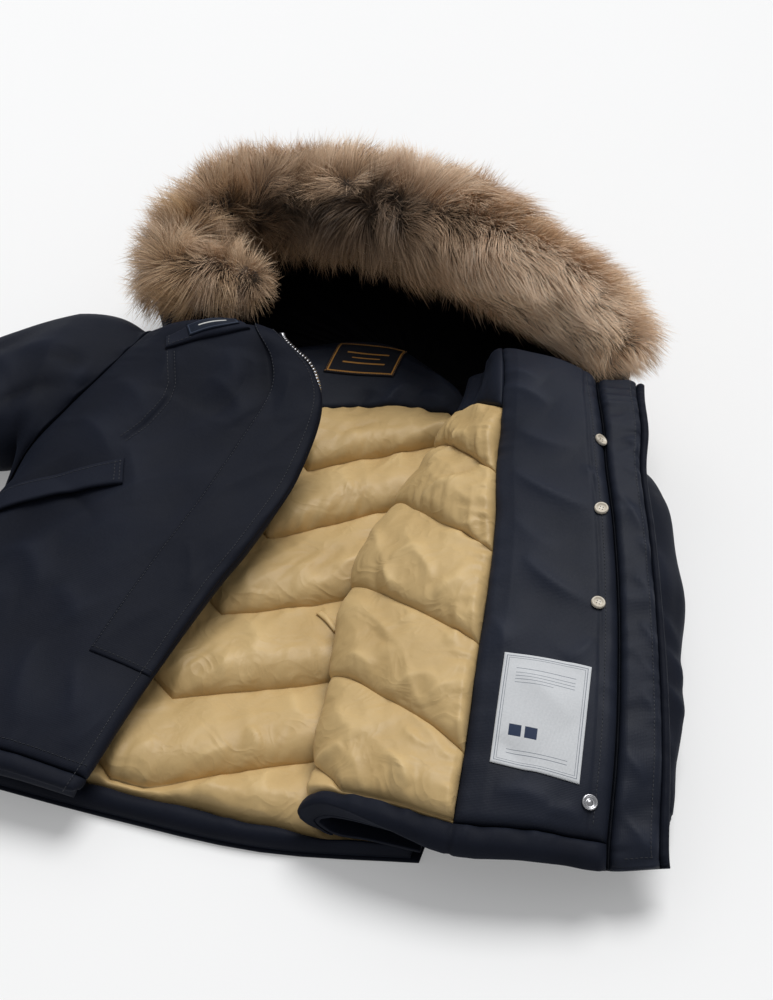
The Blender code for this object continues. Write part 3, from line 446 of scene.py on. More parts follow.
def makeMesh(name, points, faces, uv, rise=None):
    tris = np.array([(f[0], f[k], f[k + 1]) for f in faces for k in range(1, len(f) - 1)])
    a, b, c = points[tris[:, 0]], points[tris[:, 1]], points[tris[:, 2]]
    if (a * np.cross(b, c)).sum() < 0:
        faces = [face[::-1] for face in faces]
    mesh = bpy.data.meshes.new(name)
    mesh.from_pydata(points.tolist(), [], faces)
    corner = np.empty(len(mesh.loops), int)
    mesh.loops.foreach_get("vertex_index", corner)
    mesh.uv_layers.new(name="cloth").data.foreach_set("uv", uv[corner].ravel())
    if rise is not None:
        mark(mesh, "rise", rise)
    mesh.shade_smooth()
    return linked(name, mesh)


def wall(name, top, bottom, uv, rise, step=3):
    # a closed wall: a dense outer grid, and an inner grid that keeps only some of its rows and columns
    rows, columns = top.shape[:2]
    keptRows, keptColumns = kept(rows, step), kept(columns, step)
    number = np.arange(rows * columns).reshape(rows, columns)
    below = rows * columns + np.arange(len(keptRows) * len(keptColumns)).reshape(len(keptRows), -1)
    pick = np.ix_(keptRows, keptColumns)
    points = np.concatenate([top.reshape(-1, 3), bottom[pick].reshape(-1, 3)])
    uv = np.concatenate([uv.reshape(-1, 2), uv[pick].reshape(-1, 2)])
    rise = np.concatenate([rise.ravel(), rise[pick].ravel()])
    faces = quads(number) + [face[::-1] for face in quads(below)]
    for k, (c0, c1) in enumerate(zip(keptColumns, keptColumns[1:])):
        faces.append([*number[0, c0:c1 + 1][::-1].tolist(), int(below[0, k]), int(below[0, k + 1])])
        faces.append([*number[-1, c0:c1 + 1].tolist(), int(below[-1, k + 1]), int(below[-1, k])])
    for k, (r0, r1) in enumerate(zip(keptRows, keptRows[1:])):
        faces.append([*number[r0:r1 + 1, 0].tolist(), int(below[k + 1, 0]), int(below[k, 0])])
        faces.append([*number[r0:r1 + 1, -1][::-1].tolist(), int(below[k, -1]), int(below[k + 1, -1])])
    return makeMesh(name, points, faces, uv, rise)


def spanned(point):
    # width, length and area of the flat cut, from the surface before it is creased
    width = np.linalg.norm(np.diff(point, axis=1), axis=-1).sum(axis=1).max()
    length = np.linalg.norm(np.diff(point, axis=0), axis=-1).sum(axis=0).max()
    side = point[:-1, 1:] - point[1:, :-1]
    other = point[1:, 1:] - point[:-1, :-1]
    area = np.linalg.norm(np.cross(side, other), axis=-1).sum() / 2
    return float(width), float(length), float(area)


def clothWall(name, panel, u, v, low, high, relief=0.0, rim=(0.1, 0.1, 0.1, 0.1), reach=0.006, even=True):
    # rim is the share of the thickness left at the first and last column, and at the first and last row
    point = panel.at(u, v)
    normal = panel.normal(u, v)
    share = np.ones(u.shape)
    distances = (
        (u - u[:, :1]) * panel.width, (u[:, -1:] - u) * panel.width,
        (v - v[:1]) * panel.length, (v[-1:] - v) * panel.length,
    )
    for thin, distance in zip(rim, distances):
        share = share * (thin + (1 - thin) * rolled(distance / reach))
    low, high, relief = (np.broadcast_to(value, u.shape) for value in (low, high, relief))
    if even:
        middle, half = (low + high) / 2, (high - low) / 2 * share
        over, under = middle + half + relief * share, middle - half
    else:
        over, under = low + (high - low) * share + relief * share, low
    top = point + normal * over[..., None]
    bottom = point + normal * under[..., None]
    bottom[..., 2] = np.maximum(bottom[..., 2], 0.0)
    top[..., 2] = np.maximum(top[..., 2], 0.0004)
    uv = np.stack([u * panel.width, v * panel.length], axis=-1)
    # rise carries painted shade to the cloth finishes: troughs and rolled edges darker, ridges paler
    rise = np.clip(0.5 + relief / 0.008 - 0.5 * (1 - share), 0, 1)
    piece = wall(name, top, bottom, uv, rise)
    piece["cut"] = spanned(point)
    return piece


def dress(piece, nodes, finish):
    # what every piece needs: its finish, its body, and the solids that it stands for, which it hides
    piece.data.materials.append(finish)
    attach(piece, "root")
    if nodes:
        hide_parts(*nodes)
    return piece


def asSheet(piece):
    # a narrow band's cloth also goes round its own thickness, so its cut is half of its whole skin
    width, length, area = piece["cut"]
    del piece["cut"]
    skin = sum(face.area for face in piece.data.polygons) / 2
    if skin > 1.25 * area:
        if width < length:
            width *= skin / area
        else:
            length *= skin / area
        area = skin
    cut = (round(max(width, 0.01), 4), round(max(length, 0.01), 4))
    area = max(0.301 * cut[0] * cut[1], min(area, cut[0] * cut[1]))
    print("  cut", piece.name, [round(value, 3) for value in (*cut, area)])
    return piece


def sew(piece, node, finish):
    # a cloth piece in place of its solid, with its flat cut
    return asSheet(dress(piece, [node], finish))


def sewWall(name, slot, node, finish, restsOn, panel, u, v, low, high, held="laid", **more):
    # the same for a wall between two heights over a panel
    return sew(clothWall(name, panel, u, v, low, high, **more), node, finish)


def asPadded(piece):
    if "cut" in piece:
        del piece["cut"]
    return piece


# Finishes.

class Wire:
    # a node socket that takes part in sums
    def __init__(self, tree, socket=None):
        self.tree = tree
        self.socket = socket

    def make(self, kind, settings=None, inputs=None, out=0):
        node = self.tree.nodes.new(kind)
        for name, value in (settings or {}).items():
            if name == "stops":
                ramp = node.color_ramp.elements
                while len(ramp) < len(value):
                    ramp.new(0.5)
                for stop, (place, colour) in zip(ramp, value):
                    stop.position = place
                    stop.color = (*colour, 1.0)
            else:
                setattr(node, name, value)
        for name, value in (inputs or {}).items():
            socket = node.inputs[name]
            if isinstance(value, Wire):
                self.tree.links.new(value.socket, socket)
            else:
                socket.default_value = value
        return Wire(self.tree, node.outputs[out])

    def other(self, name):
        # another output of the same node
        return Wire(self.tree, self.socket.node.outputs[name])

    def calc(self, operation, *values):
        return self.make("ShaderNodeMath", {"operation": operation}, dict(enumerate(values)))

    def __add__(self, other):
        return self.calc("ADD", self, other)

    __radd__ = __add__

    def __sub__(self, other):
        return self.calc("SUBTRACT", self, other)

    def __rsub__(self, other):
        return self.calc("SUBTRACT", other, self)

    def __mul__(self, other):
        return self.calc("MULTIPLY", self, other)

    __rmul__ = __mul__

    def __pow__(self, other):
        return self.calc("POWER", self, other)

    def wave(self):
        return self.calc("SINE", self)

    def over(self, limit):
        return self.calc("GREATER_THAN", self, limit)

    def blend(self, low, high):
        # a colour between two, by this value
        return self.make("ShaderNodeMix", {"data_type": "RGBA"}, {0: self, 6: low, 7: high}, 2)

    def noise(self, scale, detail, **more):
        place = self.make("ShaderNodeTexCoord", None, None, 3)
        inputs = {"Vector": place, "Scale": scale, "Detail": detail, **more}
        return self.make("ShaderNodeTexNoise", None, inputs)

    def bump(self, strength, distance, height):
        inputs = {"Strength": strength, "Distance": distance, "Height": height}
        return self.make("ShaderNodeBump", None, inputs)

    def field(self, name):
        return self.make("ShaderNodeAttribute", {"attribute_name": name}, None, 2)

    def clothMap(self):
        # x and y of a piece's own map
        uv = self.make("ShaderNodeUVMap", {"uv_map": "cloth"})
        return [self.make("ShaderNodeSeparateXYZ", None, {0: uv}, out) for out in (0, 1)]


def startFinish(name, fixed):
    material = bpy.data.materials.new(name)
    material.use_nodes = True
    tree = material.node_tree
    shader = tree.nodes["Principled BSDF"]
    for socket, value in fixed.items():
        shader.inputs[socket].default_value = value
    return material, shader, Wire(tree)


def join(wire, shader, **links):
    for name, value in links.items():
        socket = shader.inputs[name.replace("_", " ")]
        if isinstance(value, Wire):
            wire.tree.links.new(value.socket, socket)
        else:
            socket.default_value = value


def clothFinish(name, look):
    # a woven cloth: fine crossing threads, slubs, soft mottling, and painted light and shade by height:
    # ridges a little paler than troughs, rolled edges darker
    material, shader, wire = startFinish(name, {
        "Sheen Weight": look["sheen"], "Sheen Roughness": 0.45, "Sheen Tint": (*look["sheenTint"], 1),
        "Specular IOR Level": look["specular"],
    })
    x, y = wire.clothMap()
    turn = 2 * math.pi / look["thread"]
    warp = (x * turn).wave() * 0.5 + 0.5
    weft = (y * turn).wave() * 0.5 + 0.5
    threads = warp * 0.5 + weft * 0.5
    slub = wire.noise(420.0, 3.0, Roughness=0.6)
    soft = wire.noise(26.0, 4.0, Roughness=0.55)
    crush = wire.noise(look["crushScale"], 2.0, Distortion=0.6)
    # painted light and shade: the rise value makes ridges paler and troughs and rolled edges darker
    rise = wire.field("rise")
    level = 0.5 - 0.5 * (look["shadeByRise"] + look["mottle"] + look["slub"])
    tone = rise * look["shadeByRise"] + soft * look["mottle"] + slub * look["slub"] + level
    height = threads * look["threadDepth"] + slub * 0.5 + crush * look["crush"]
    if look["wrinkles"]:
        flow = wire.noise(34.0, 1.5, Distortion=1.2)
        height = height - flow.calc("ABSOLUTE", flow - 0.5) * look["wrinkles"]
    bump = wire.bump(look["bump"], 0.0006, height)
    join(wire, shader, Base_Color=tone.blend((*look["dark"], 1), (*look["pale"], 1)),
         Roughness=soft * 0.16 + (look["roughness"] - 0.08), Normal=bump)
    return material


navyLook = {
    "dark": (0.0030, 0.0037, 0.0070), "pale": (0.0125, 0.0155, 0.0270), "roughness": 0.62, "sheen": 0.02,
    "sheenTint": (0.5, 0.65, 1.0), "specular": 0.09, "thread": 0.0009, "threadDepth": 0.35, "shadeByRise": 0.62,
    "mottle": 0.16, "slub": 0.22, "bump": 0.4, "crush": 1.2, "crushScale": 75.0, "wrinkles": 0.0,
}
facingLook = dict(navyLook, dark=(0.0048, 0.006, 0.0105), pale=(0.021, 0.026, 0.043), roughness=0.52,
                  sheen=0.02, specular=0.13, crush=0.8)
blackLook = dict(navyLook, dark=(0.0008, 0.0008, 0.0011), pale=(0.0035, 0.0035, 0.0048), sheen=0.0,
                 specular=0.08)
khakiLook = {
    "dark": (0.40, 0.255, 0.095), "pale": (0.78, 0.565, 0.275), "roughness": 0.46, "sheen": 0.05,
    "sheenTint": (1.0, 0.9, 0.7), "specular": 0.3, "thread": 0.0007, "threadDepth": 0.2, "shadeByRise": 0.5,
    "mottle": 0.16, "slub": 0.08, "bump": 0.3, "crush": 0.5, "crushScale": 90.0, "wrinkles": 15.0,
}
tapeLook = dict(navyLook, dark=(0.003, 0.0035, 0.005), pale=(0.010, 0.012, 0.018), thread=0.0016,
                threadDepth=1.2, bump=0.6)

navy = clothFinish("navyCloth", navyLook)
facingNavy = clothFinish("facingCloth", facingLook)
hoodBlack = clothFinish("hoodLiningCloth", blackLook)
khaki = clothFinish("khakiLining", khakiLook)
tapeCloth = clothFinish("zipTapeCloth", tapeLook)
print("finishes made")


# Placing pieces on pieces, and quilting.

def surfaceOf(piece):
    mesh = piece.data
    return BVHTree.FromPolygons([v.co for v in mesh.vertices], [p.vertices[:] for p in mesh.polygons])


def heightsOn(tree, x, y):
    # the top of a piece above plan places (cm), in metres
    z = np.full(x.shape, np.nan)
    for place in np.ndindex(x.shape):
        hit = tree.ray_cast((x[place] * cm, y[place] * cm, 0.5), (0, 0, -1))[0]
        if hit is not None:
            z[place] = hit[2]
    return np.where(np.isnan(z), np.nanmean(z), z)


def laidOn(name, support, corners, gap, thickness, columns, rows, lift=None, bulge=0.0, rim=0.25):
    # a thin piece that rests on top of another one, between four plan corners, with rolled edges
    s, t = grid(rimmed(0, 1, columns, 0.06), rimmed(0, 1, rows, 0.06))
    shares = ((1 - s) * (1 - t), s * (1 - t), s * t, (1 - s) * t)
    x = sum(share * corner[0] for share, corner in zip(shares, corners))
    y = sum(share * corner[1] for share, corner in zip(shares, corners))
    z = heightsOn(surfaceOf(support), x, y)
    for _ in range(3):
        smooth = z.copy()
        smooth[1:-1, 1:-1] = (z[:-2, 1:-1] + z[2:, 1:-1] + z[1:-1, :-2] + z[1:-1, 2:]) / 4
        z = np.maximum(smooth, z - 0.0004)
    if lift is not None:
        z = z + lift(s, t)
    width = math.dist(corners[0], corners[1]) * cm
    length = math.dist(corners[1], corners[2]) * cm
    edge = np.minimum(np.minimum(s, 1 - s) * width, np.minimum(t, 1 - t) * length)
    share = rim + (1 - rim) * rolled(edge / max(thickness, 0.0015))
    plan = np.stack([x * cm, y * cm], axis=-1)
    over = z + gap + thickness * share + bulge * np.sin(math.pi * s) * np.sin(math.pi * t)
    top = np.concatenate([plan, over[..., None]], axis=-1)
    bottom = np.concatenate([plan, (z + gap)[..., None]], axis=-1)
    # the edge share goes in as rise, so in a cloth finish the rolled edges are painted darker: painted shade
    piece = wall(name, top, bottom, np.stack([s, t], axis=-1), share, 2)
    piece["cut"] = spanned(bottom)
    return piece


def quilted(lines, panel, u, perChannel, look):
    # rows of v through the channels between lines of stitching, and the height of the puff at each
    steps = np.concatenate([[0.0, 0.008, 0.022, 0.045, 0.075], np.linspace(0.11, 0.9, perChannel),
                            [0.93, 0.96, 0.985, 0.996]])
    along = panel.girth(u)
    values, heights = [], []
    for number, (low, high) in enumerate(zip(lines, lines[1:])):
        depth = panel.run(high - low)
        full = np.minimum(depth / 3.5, 1.0)
        for t in steps:
            away, back = t * depth, (1 - t) * depth
            past = max(0.0, t - look["face"]) / (1 - look["face"])
            puff = rolled(t / look["face"]) * (1 - look["fall"] * past ** 1.5) * full
            lower = gathers(along, away, look["gather"], look["reach"], look["seed"] + number * 7)
            upper = gathers(along, back, look["gather"] * 1.2, look["reach"] * 0.7,
                            look["seed"] + number * 7 + 10)
            near = np.clip(away / 0.35, 0, 1) * np.clip(back / 0.35, 0, 1) * full
            values.append(low + (high - low) * t)
            heights.append(look["puff"] * puff * (1 + 0.05 * (lower + upper))
                           + look["pucker"] * (lower + 0.8 * upper) * near)
    values.append(lines[-1])
    heights.append(np.zeros_like(lines[-1]))
    return np.array(values), np.array(heights)


back, left, right = backPanel(), leftPanel(), rightPanel()

# The back: shell on the floor, quilted lining, hem and neck facings.

liningFolds = (
    (7.0, -24.2, 8.9, -26.6, 0.5, 0.45, 2.2), (8.0, -17.6, 11.6, -22.4, -0.6, 0.9, 2.4),
    (2.2, -17.4, 3.2, -21.4, 0.3, 0.8, 2.2), (5.6, 1.8, 2.6, 5.2, 0.4, 0.9, 2.2),
    (3.6, -7.4, 6.4, -3.8, 0.5, 0.8, -1.8), (4.6, -28.9, 7.0, -26.4, 0.3, 0.6, 1.8),
    (5.2, -10.8, 6.2, -7.6, 0.2, 0.7, 1.8), (2.4, -13.6, 5.0, -19.0, 0.5, 1.0, 2.0),
    (-0.8, -32.0, 1.4, -27.8, 0.4, 0.9, 2.0), (7.6, 6.2, 5.4, 10.6, -0.4, 0.8, 2.0),
    (1.4, 8.0, 4.6, 11.2, 0.4, 0.7, -1.6), (9.6, -13.0, 7.6, -9.4, 0.3, 0.6, 1.8),
    (11.6, -30.4, 10.0, -26.0, 0.4, 0.7, 2.2), (0.4, -9.0, 2.8, -12.4, -0.5, 1.0, 1.6),
    (-6.0, -20.0, -2.5, -24.0, 0.6, 1.0, 2.0), (-12.0, -10.0, -8.0, -15.0, 0.6, 1.1, 2.0),
    (-10.0, 0.0, -6.5, -4.5, -0.5, 1.0, 2.0), (-16.0, -28.0, -12.0, -31.0, 0.5, 0.9, 2.0),
    (15.0, -16.0, 18.0, -20.0, 0.5, 1.0, 2.0), (9.4, 0.6, 7.4, -2.8, 0.4, 0.6, -1.6),
    (9.0, -4.0, 6.6, -6.4, 0.3, 0.5, 1.6),
)
neckFolds = (
    (3.0, 12.5, 4.4, 17.0, 0.3, 0.7, 1.8), (-5.0, 13.0, -3.6, 16.0, 0.2, 0.6, 1.4),
    (5.8, 16.2, 9.0, 14.6, 0.4, 0.8, 2.2), (6.0, 19.0, 9.6, 16.4, -0.4, 0.9, 2.4),
    (1.0, 12.6, 1.6, 15.0, 0.2, 0.6, -1.2),
)
liningLook = {
    "base": 0.0045, "puff": 0.0175, "face": 0.34, "fall": 0.8, "gather": 1.15, "reach": 2.2, "pucker": 0.0019,
    "seed": 11, "folds": 1.7, "creases": liningFolds, "lumps": [(0.0010, 3.4, 5)],
    "drapes": [(0.0015, 2.8, 1.15, 6), (0.0009, 2.2, 2.2, 16)],
}
hemFacingLook = {"gather": (0.0012, 2.2, 1.4, 31), "lumps": 0.0014}
neckFacingLook = {"folds": 1.6, "creases": neckFolds, "lumps": [(0.0012, 3.0, 41)], "drapes": [],
                  "gather": (0.0007, 1.8, 1.6, 42)}


def pressedUnder(place):
    # where the opened front's fold presses on what is below it
    foldX = np.interp(place[..., 1], *foldLine())
    return np.clip((place[..., 0] - foldX + 0.006) / 0.012, 0, 1)


def makeBack():
    u, v = grid(rimmed(0, 1, 46, 0.01), rimmed(0, 1, 46, 0.01))
    sewWall("backShell", "shell_cloth", "back_shell", navy, [],
            back, u, v, -shell, 0.0, rim=(0.4,) * 4, reach=0.003)

    columns = rimmed(0.075, 0.93, 150, 0.012)
    x = back.at(columns, np.full(len(columns), 0.4))[:, 0] / cm
    top = planY(backLiningTop, x)
    lines = [planY(backLiningHem, x)]
    for y, climb in backStitches:
        lines.append(np.clip(y + climb * np.abs(x), lines[-1] + 0.7, top - 0.7))
    lines.append(top)
    sway = [0.12 * wave(x, 1.7, 60 + k) + 0.1 * wave(x, 4.5, 80 + k) for k in range(len(lines))]
    lines = [
        np.array([rowForY(back, uu, yy * cm) for uu, yy in zip(columns, line + move)])
        for line, move in zip(lines, sway)
    ]
    for k in range(1, len(lines)):
        lines[k] = np.maximum(np.minimum(lines[k], 0.93), lines[k - 1] + 0.015)
    look = liningLook
    values, puffs = quilted(lines, back, columns, 28, look)
    u = np.broadcast_to(columns, values.shape)
    place = back.at(u, values)
    px, py = planOf(place)
    pressed = pressedUnder(place)
    loose = (1 - pressed) * np.clip(puffs / 0.006, 0, 1)
    folds = crumple(px, py, look)
    height = layerGap + look["base"] + puffs * (1 - pressed)
    piece = clothWall("backLining", back, u, values, layerGap, height, relief=folds * loose,
                      rim=(0.3, 0.3, 0.5, 0.5), reach=0.004, even=False)
    asPadded(dress(piece, ["back_lining"], khaki))

    gap = seamGap / back.length
    hemColumns = rimmed(0.075, 0.985, 150, 0.012)
    u, t = grid(hemColumns, rimmed(0, 1, 8, 0.12))
    v = 0.004 + (np.interp(hemColumns, columns, lines[0]) - gap * 2 - 0.004) * t
    place = back.at(u, v)
    px, py = planOf(place)
    body = np.interp(t, [0, 0.5, 1], [0.75, 1.0, 0.85]) * hemPad
    lumps = (puckered(px, (1 - t) * 2.2, hemFacingLook["gather"])
             + hemFacingLook["lumps"] * ripple(px, py, 3.0, 32))
    sewWall("backHemFacing", "facing_cloth", "back_hem_facing", navy, ["backShell"], back, u, v, layerGap,
            layerGap + body, relief=lumps, rim=(0.3, 0.3, 0.25, 0.35), reach=0.006, even=False)

    u, t = grid(columns, rimmed(0, 1, 34, 0.03))
    low = lines[-1] + gap * 2
    v = low + (0.999 - low) * t
    place = back.at(u, v)
    px, py = planOf(place)
    body = np.interp(t, np.linspace(0, 1, 6), [0.0075, 0.0115, 0.0140, 0.0165, 0.0175, 0.0100])
    body = body * (1 - pressedUnder(place)) + 0.0060 * pressedUnder(place)
    look = neckFacingLook
    soft = crumple(px, py, look) + puckered(px, t * 5, look["gather"])
    sewWall("backNeckFacing", "facing_cloth", "back_neck_facing", facingNavy, ["backShell"], back, u, v,
            layerGap, layerGap + body, relief=soft * (1 - pressedUnder(place)), rim=(0.3, 0.3, 0.5, 0.4),
            reach=0.004, even=False)


makeBack()
print("back made")

# The closed front, with its hem band, fly, zip tape, pocket flap and collar tab.

closedFolds = (
    (-7.4, 11.0, -2.4, 2.4, 0.3, 1.3, -4.0), (-8.6, 7.4, -4.8, 0.6, 0.4, 1.6, 1.8),
    (-12.6, -4.6, -9.2, -10.4, 0.5, 1.1, 1.5), (-16.4, -16.6, -12.6, -20.6, 0.5, 0.9, 1.8),
    (-6.9, -25.8, -4.6, -31.0, 0.3, 0.8, 2.0), (-10.4, -25.0, -8.2, -32.6, -0.6, 1.2, 1.8),
    (-11.4, -19.6, -8.0, -22.6, 0.4, 0.9, 1.5), (-18.0, -3.0, -12.6, -7.0, 0.6, 1.0, 1.6),
    (-16.6, 1.4, -11.8, -2.0, 0.7, 1.4, 1.8), (-6.4, 7.0, -7.4, 0.6, 0.8, 1.3, -2.4),
    (-2.8, 7.2, -2.2, 2.4, 0.3, 0.9, 1.4), (-19.4, -19.0, -13.2, -16.4, 0.6, 1.0, 1.4),
    (-20.6, -24.0, -14.0, -22.0, 0.8, 1.3, 1.6), (-14.8, -29.0, -13.4, -33.0, 0.3, 1.0, 1.4),
    (-19.0, -29.0, -18.0, -33.6, 0.3, 1.0, 1.6), (-13.8, 6.2, -12.8, 1.6, 0.4, 0.7, 1.2),
    (-3.4, -12.0, -1.4, -16.6, 0.3, 0.7, 1.1), (-2.6, -29.0, -4.0, -33.0, 0.2, 0.7, 1.2),
    (-9.0, 4.4, -4.4, 1.6, 0.5, 1.2, 1.4), (-17.4, -9.6, -11.0, -13.4, 0.5, 0.9, -1.2),
)
closedLook = {
    "folds": 1.7, "creases": closedFolds, "lumps": [(0.0024, 6.5, 21)], "drapes": [(0.0010, 3.4, 1.0, 22)],
    "dartDepth": 0.0011, "atDart": (0.0006, 1.0, 0.9, 23), "atArmhole": (0.0014, 1.6, 2.2, 24),
    "atBand": (0.0008, 1.7, 1.6, 25), "bandGather": (0.0008, 1.9, 1.2, 26), "bandLumps": 0.0009,
    "flyThick": 0.0016, "tapeThick": 0.002, "zipRise": 0.0075, "zipTurn": 0.006, "flapOpen": 0.0035,
}
flyEnd = -24.4
dartLine = ((-12.9, 5.2), (-12.2, 3.8), (-11.5, 2.4), (-11.3, 0.8), (-11.6, -0.8), (-12.0, -2.4),
            (-12.8, -4.4))


def along(line, x, y):
    # distance (cm) from plan places to a line of points
    nearest = np.full(np.shape(x), 1e3)
    for (x0, y0), (x1, y1) in zip(line, line[1:]):
        dx, dy = x1 - x0, y1 - y0
        t = np.clip(((x - x0) * dx + (y - y0) * dy) / (dx * dx + dy * dy), 0, 1)
        nearest = np.minimum(nearest, np.hypot(x - x0 - t * dx, y - y0 - t * dy))
    return nearest


def thinned(u, depth):
    return depth * np.clip(0.3 + u / 0.14, 0.3, 1.0)


def closedRelief(u, v):
    x, y = planOf(left.at(u, v))
    seam = along(dartLine, x, y)
    look = closedLook
    total = crumple(x, y, look)
    total -= look["dartDepth"] * np.exp(-((seam / 0.22) ** 2))
    total += puckered(y, seam, look["atDart"]) * np.clip(seam / 0.3, 0, 1)
    armhole = left.girth(u)
    total += puckered(left.run(v), armhole, look["atArmhole"]) * np.clip((v - 0.42) / 0.1, 0, 1)
    band = left.run(v - left.rows["band"])
    total += puckered(x, band, look["atBand"])
    return total * np.clip(u / 0.08, 0, 1)


def closedTop(u, v):
    # the height of the closed front's outer face over its panel, rolled over at the centre edge
    share = 0.12 + 0.88 * rolled((1.0 - u) * left.width / 0.006)
    depth = thinned(u, pad)
    return -depth / 2 + depth / 2 * share + closedRelief(u, v) * share


def closedZip(v):
    # where the zip comes out from under the edge, where it turns to the neck, and its height
    shown = np.clip((v - 0.74) / 0.1, 0.0, 1.0)
    out = np.clip((v - 0.85) / 0.1, 0.0, 1.0)
    return shown, out, -pad - 2 * layerGap + closedLook["zipRise"] * shown + closedLook["zipTurn"] * out


def flapLift(s, t):
    # the pocket flap stands open along its middle
    return closedLook["flapOpen"] * (1 - t) ** 1.5 * np.sin(math.pi * np.clip(s * 1.04, 0, 1)) ** 0.6


def makeClosedFront():
    gap = seamGap / left.length
    band = left.rows["band"]
    u, v = grid(rimmed(0, 1, 130, 0.02), rimmed(band + gap, 1.0, 150, 0.012))
    front = sewWall("closedFront", "shell_cloth", "left_front", navy, ["backLining"], left, u, v,
                    -thinned(u, pad), 0.0, relief=closedRelief(u, v), rim=(0.3, 0.12, 0.45, 0.3),
                    reach=0.006)

    u, v = grid(rimmed(0, 1, 130, 0.02), rimmed(0.0, band - gap, 12, 0.006))
    x = left.at(u, v)[..., 0] / cm
    away = left.run(band - v)
    lumps = puckered(x, away, closedLook["bandGather"]) + closedLook["bandLumps"] * ripple(x, v * 60, 2.5, 27)
    lift = np.interp(v / band, [0, 0.35, 0.75, 1], [-0.003, 0.0005, 0.0005, -0.0005]) * np.clip(u / 0.1, 0, 1)
    sewWall("closedHemBand", "shell_cloth", "left_hem_band", navy, ["backHemFacing"], left, u, v,
            -thinned(u, pad * 1.15), lift, relief=lumps * np.clip(u / 0.08, 0, 1),
            rim=(0.3, 0.15, 0.15, 0.45), reach=0.006)

    low = rowForY(left, 0.9, flyEnd * cm)
    u, v = grid(rimmed(0.79, 0.994, 30, 0.01), rimmed(low, 0.968, 120, 0.006))
    under = closedTop(u, v) + 0.0003
    sewWall("closedFly", "shell_cloth", "left_fly", navy, ["closedFront"],
            left, u, v, under, under + closedLook["flyThick"], rim=(0.35,) * 4, reach=0.0022, even=False)

    u, v = grid(rimmed(0, 1, 6, 0.2), np.linspace(0.12, 0.988, 100))
    shown, out, below = closedZip(v)
    u = 0.955 + 0.047 * shown + 0.034 * out + u * (0.03 + 0.004 * shown)
    sewWall("closedZipTape", "zip_tape", "left_zip_tape", tapeCloth, ["closedFront"],
            left, u, v, below - closedLook["tapeThick"], below, rim=(0.5,) * 4, reach=0.001, even=False)

    flap = laidOn("pocketFlap", front, pocketFlap, gap=0.0006, thickness=0.0030, columns=60, rows=14,
                  lift=flapLift)
    sew(flap, "left_pocket_flap", navy)
    tab = laidOn("collarTab", front, hoodTab, gap=0.0006, thickness=0.0030, columns=34, rows=12, bulge=0.0006)
    sew(tab, "hood_tab", navy)
    return front, flap, tab


closedFront, pocketFlapPiece, collarTab = makeClosedFront()
print("closed front made")

# The opened front, lining up.

openFolds = (
    (13.2, -7.6, 15.6, -6.0, 0.4, 0.6, 2.2), (13.0, -8.2, 15.0, -10.6, -0.4, 0.55, 2.2),
    (14.6, -6.6, 17.4, -9.8, 0.4, 0.5, 1.8), (17.8, -20.6, 21.0, -18.2, 0.6, 0.8, 2.4),
    (13.4, -17.0, 15.8, -18.6, 0.3, 0.5, 1.8), (19.6, -25.6, 22.2, -28.0, 0.4, 0.45, 2.6),
    (14.6, -27.4, 16.6, -25.8, 0.4, 0.5, 1.8), (17.4, -12.0, 19.8, -6.8, -0.6, 0.9, 2.2),
    (12.6, -1.4, 16.6, 1.6, 0.6, 0.8, 2.0), (20.8, -21.0, 23.6, -18.2, 0.5, 0.7, 2.2),
    (14.0, -21.0, 17.4, -24.8, -0.5, 0.9, 2.2), (21.0, -10.6, 20.0, -15.6, 0.5, 0.8, 2.0),
    (17.0, -16.2, 13.6, -13.4, 0.4, 0.8, -1.8), (12.0, 4.0, 14.6, 7.0, 0.5, 0.7, 2.0),
    (16.4, 3.4, 13.4, 1.0, 0.3, 0.6, -1.6), (18.8, -3.0, 15.8, -4.2, 0.4, 0.6, 1.8),
    (22.6, -24.2, 19.6, -22.4, 0.4, 0.6, 1.8), (11.8, 9.6, 14.4, 11.0, 0.3, 0.6, 1.6),
)
facingFolds = (
    (19.3, 2.6, 26.8, 0.2, -0.5, 0.7, 2.0), (23.2, -5.8, 29.8, -8.4, -0.5, 0.8, 2.2),
    (15.4, 11.2, 20.0, 9.6, 0.4, 0.7, 1.8), (14.6, 12.9, 18.4, 11.8, 0.3, 0.6, 1.6),
    (22.4, -11.8, 24.8, -14.4, 0.4, 0.9, 1.6), (28.0, -25.8, 32.6, -25.4, 0.5, 0.9, 2.0),
    (32.0, -25.8, 34.6, -25.2, 0.3, 0.6, 1.6), (18.0, 7.0, 23.6, 5.8, -0.4, 0.9, 1.5),
    (30.6, -11.2, 29.2, -14.0, 0.4, 0.8, 1.6), (21.0, -2.0, 25.6, -4.4, -0.4, 1.0, 1.3),
    (25.4, -16.0, 31.6, -19.0, 0.4, 1.3, 1.6), (26.6, -22.0, 30.0, -24.0, 0.3, 0.9, -1.3),
    (24.4, 4.2, 27.0, 2.6, 0.2, 0.5, 1.4),
)
flyFolds = (
    (28.0, 2.6, 31.0, -0.4, 0.2, 0.45, 2.0), (30.6, -1.2, 32.8, -2.0, 0.2, 0.4, 2.0),
    (33.2, -8.4, 35.2, -9.8, 0.2, 0.45, 2.2), (35.6, -19.2, 38.0, -20.8, 0.2, 0.5, 2.0),
    (37.0, -23.6, 39.8, -25.2, 0.2, 0.5, 2.0), (27.4, 5.4, 29.8, 5.0, 0.2, 0.4, 1.6),
    (26.4, 8.4, 28.6, 7.8, 0.2, 0.4, 1.6), (35.2, -14.0, 37.4, -15.8, 0.2, 0.5, 1.6),
    (31.4, -4.4, 33.8, -6.0, 0.2, 0.5, 1.4), (34.0, -11.2, 36.2, -12.8, 0.2, 0.45, 1.6),
)

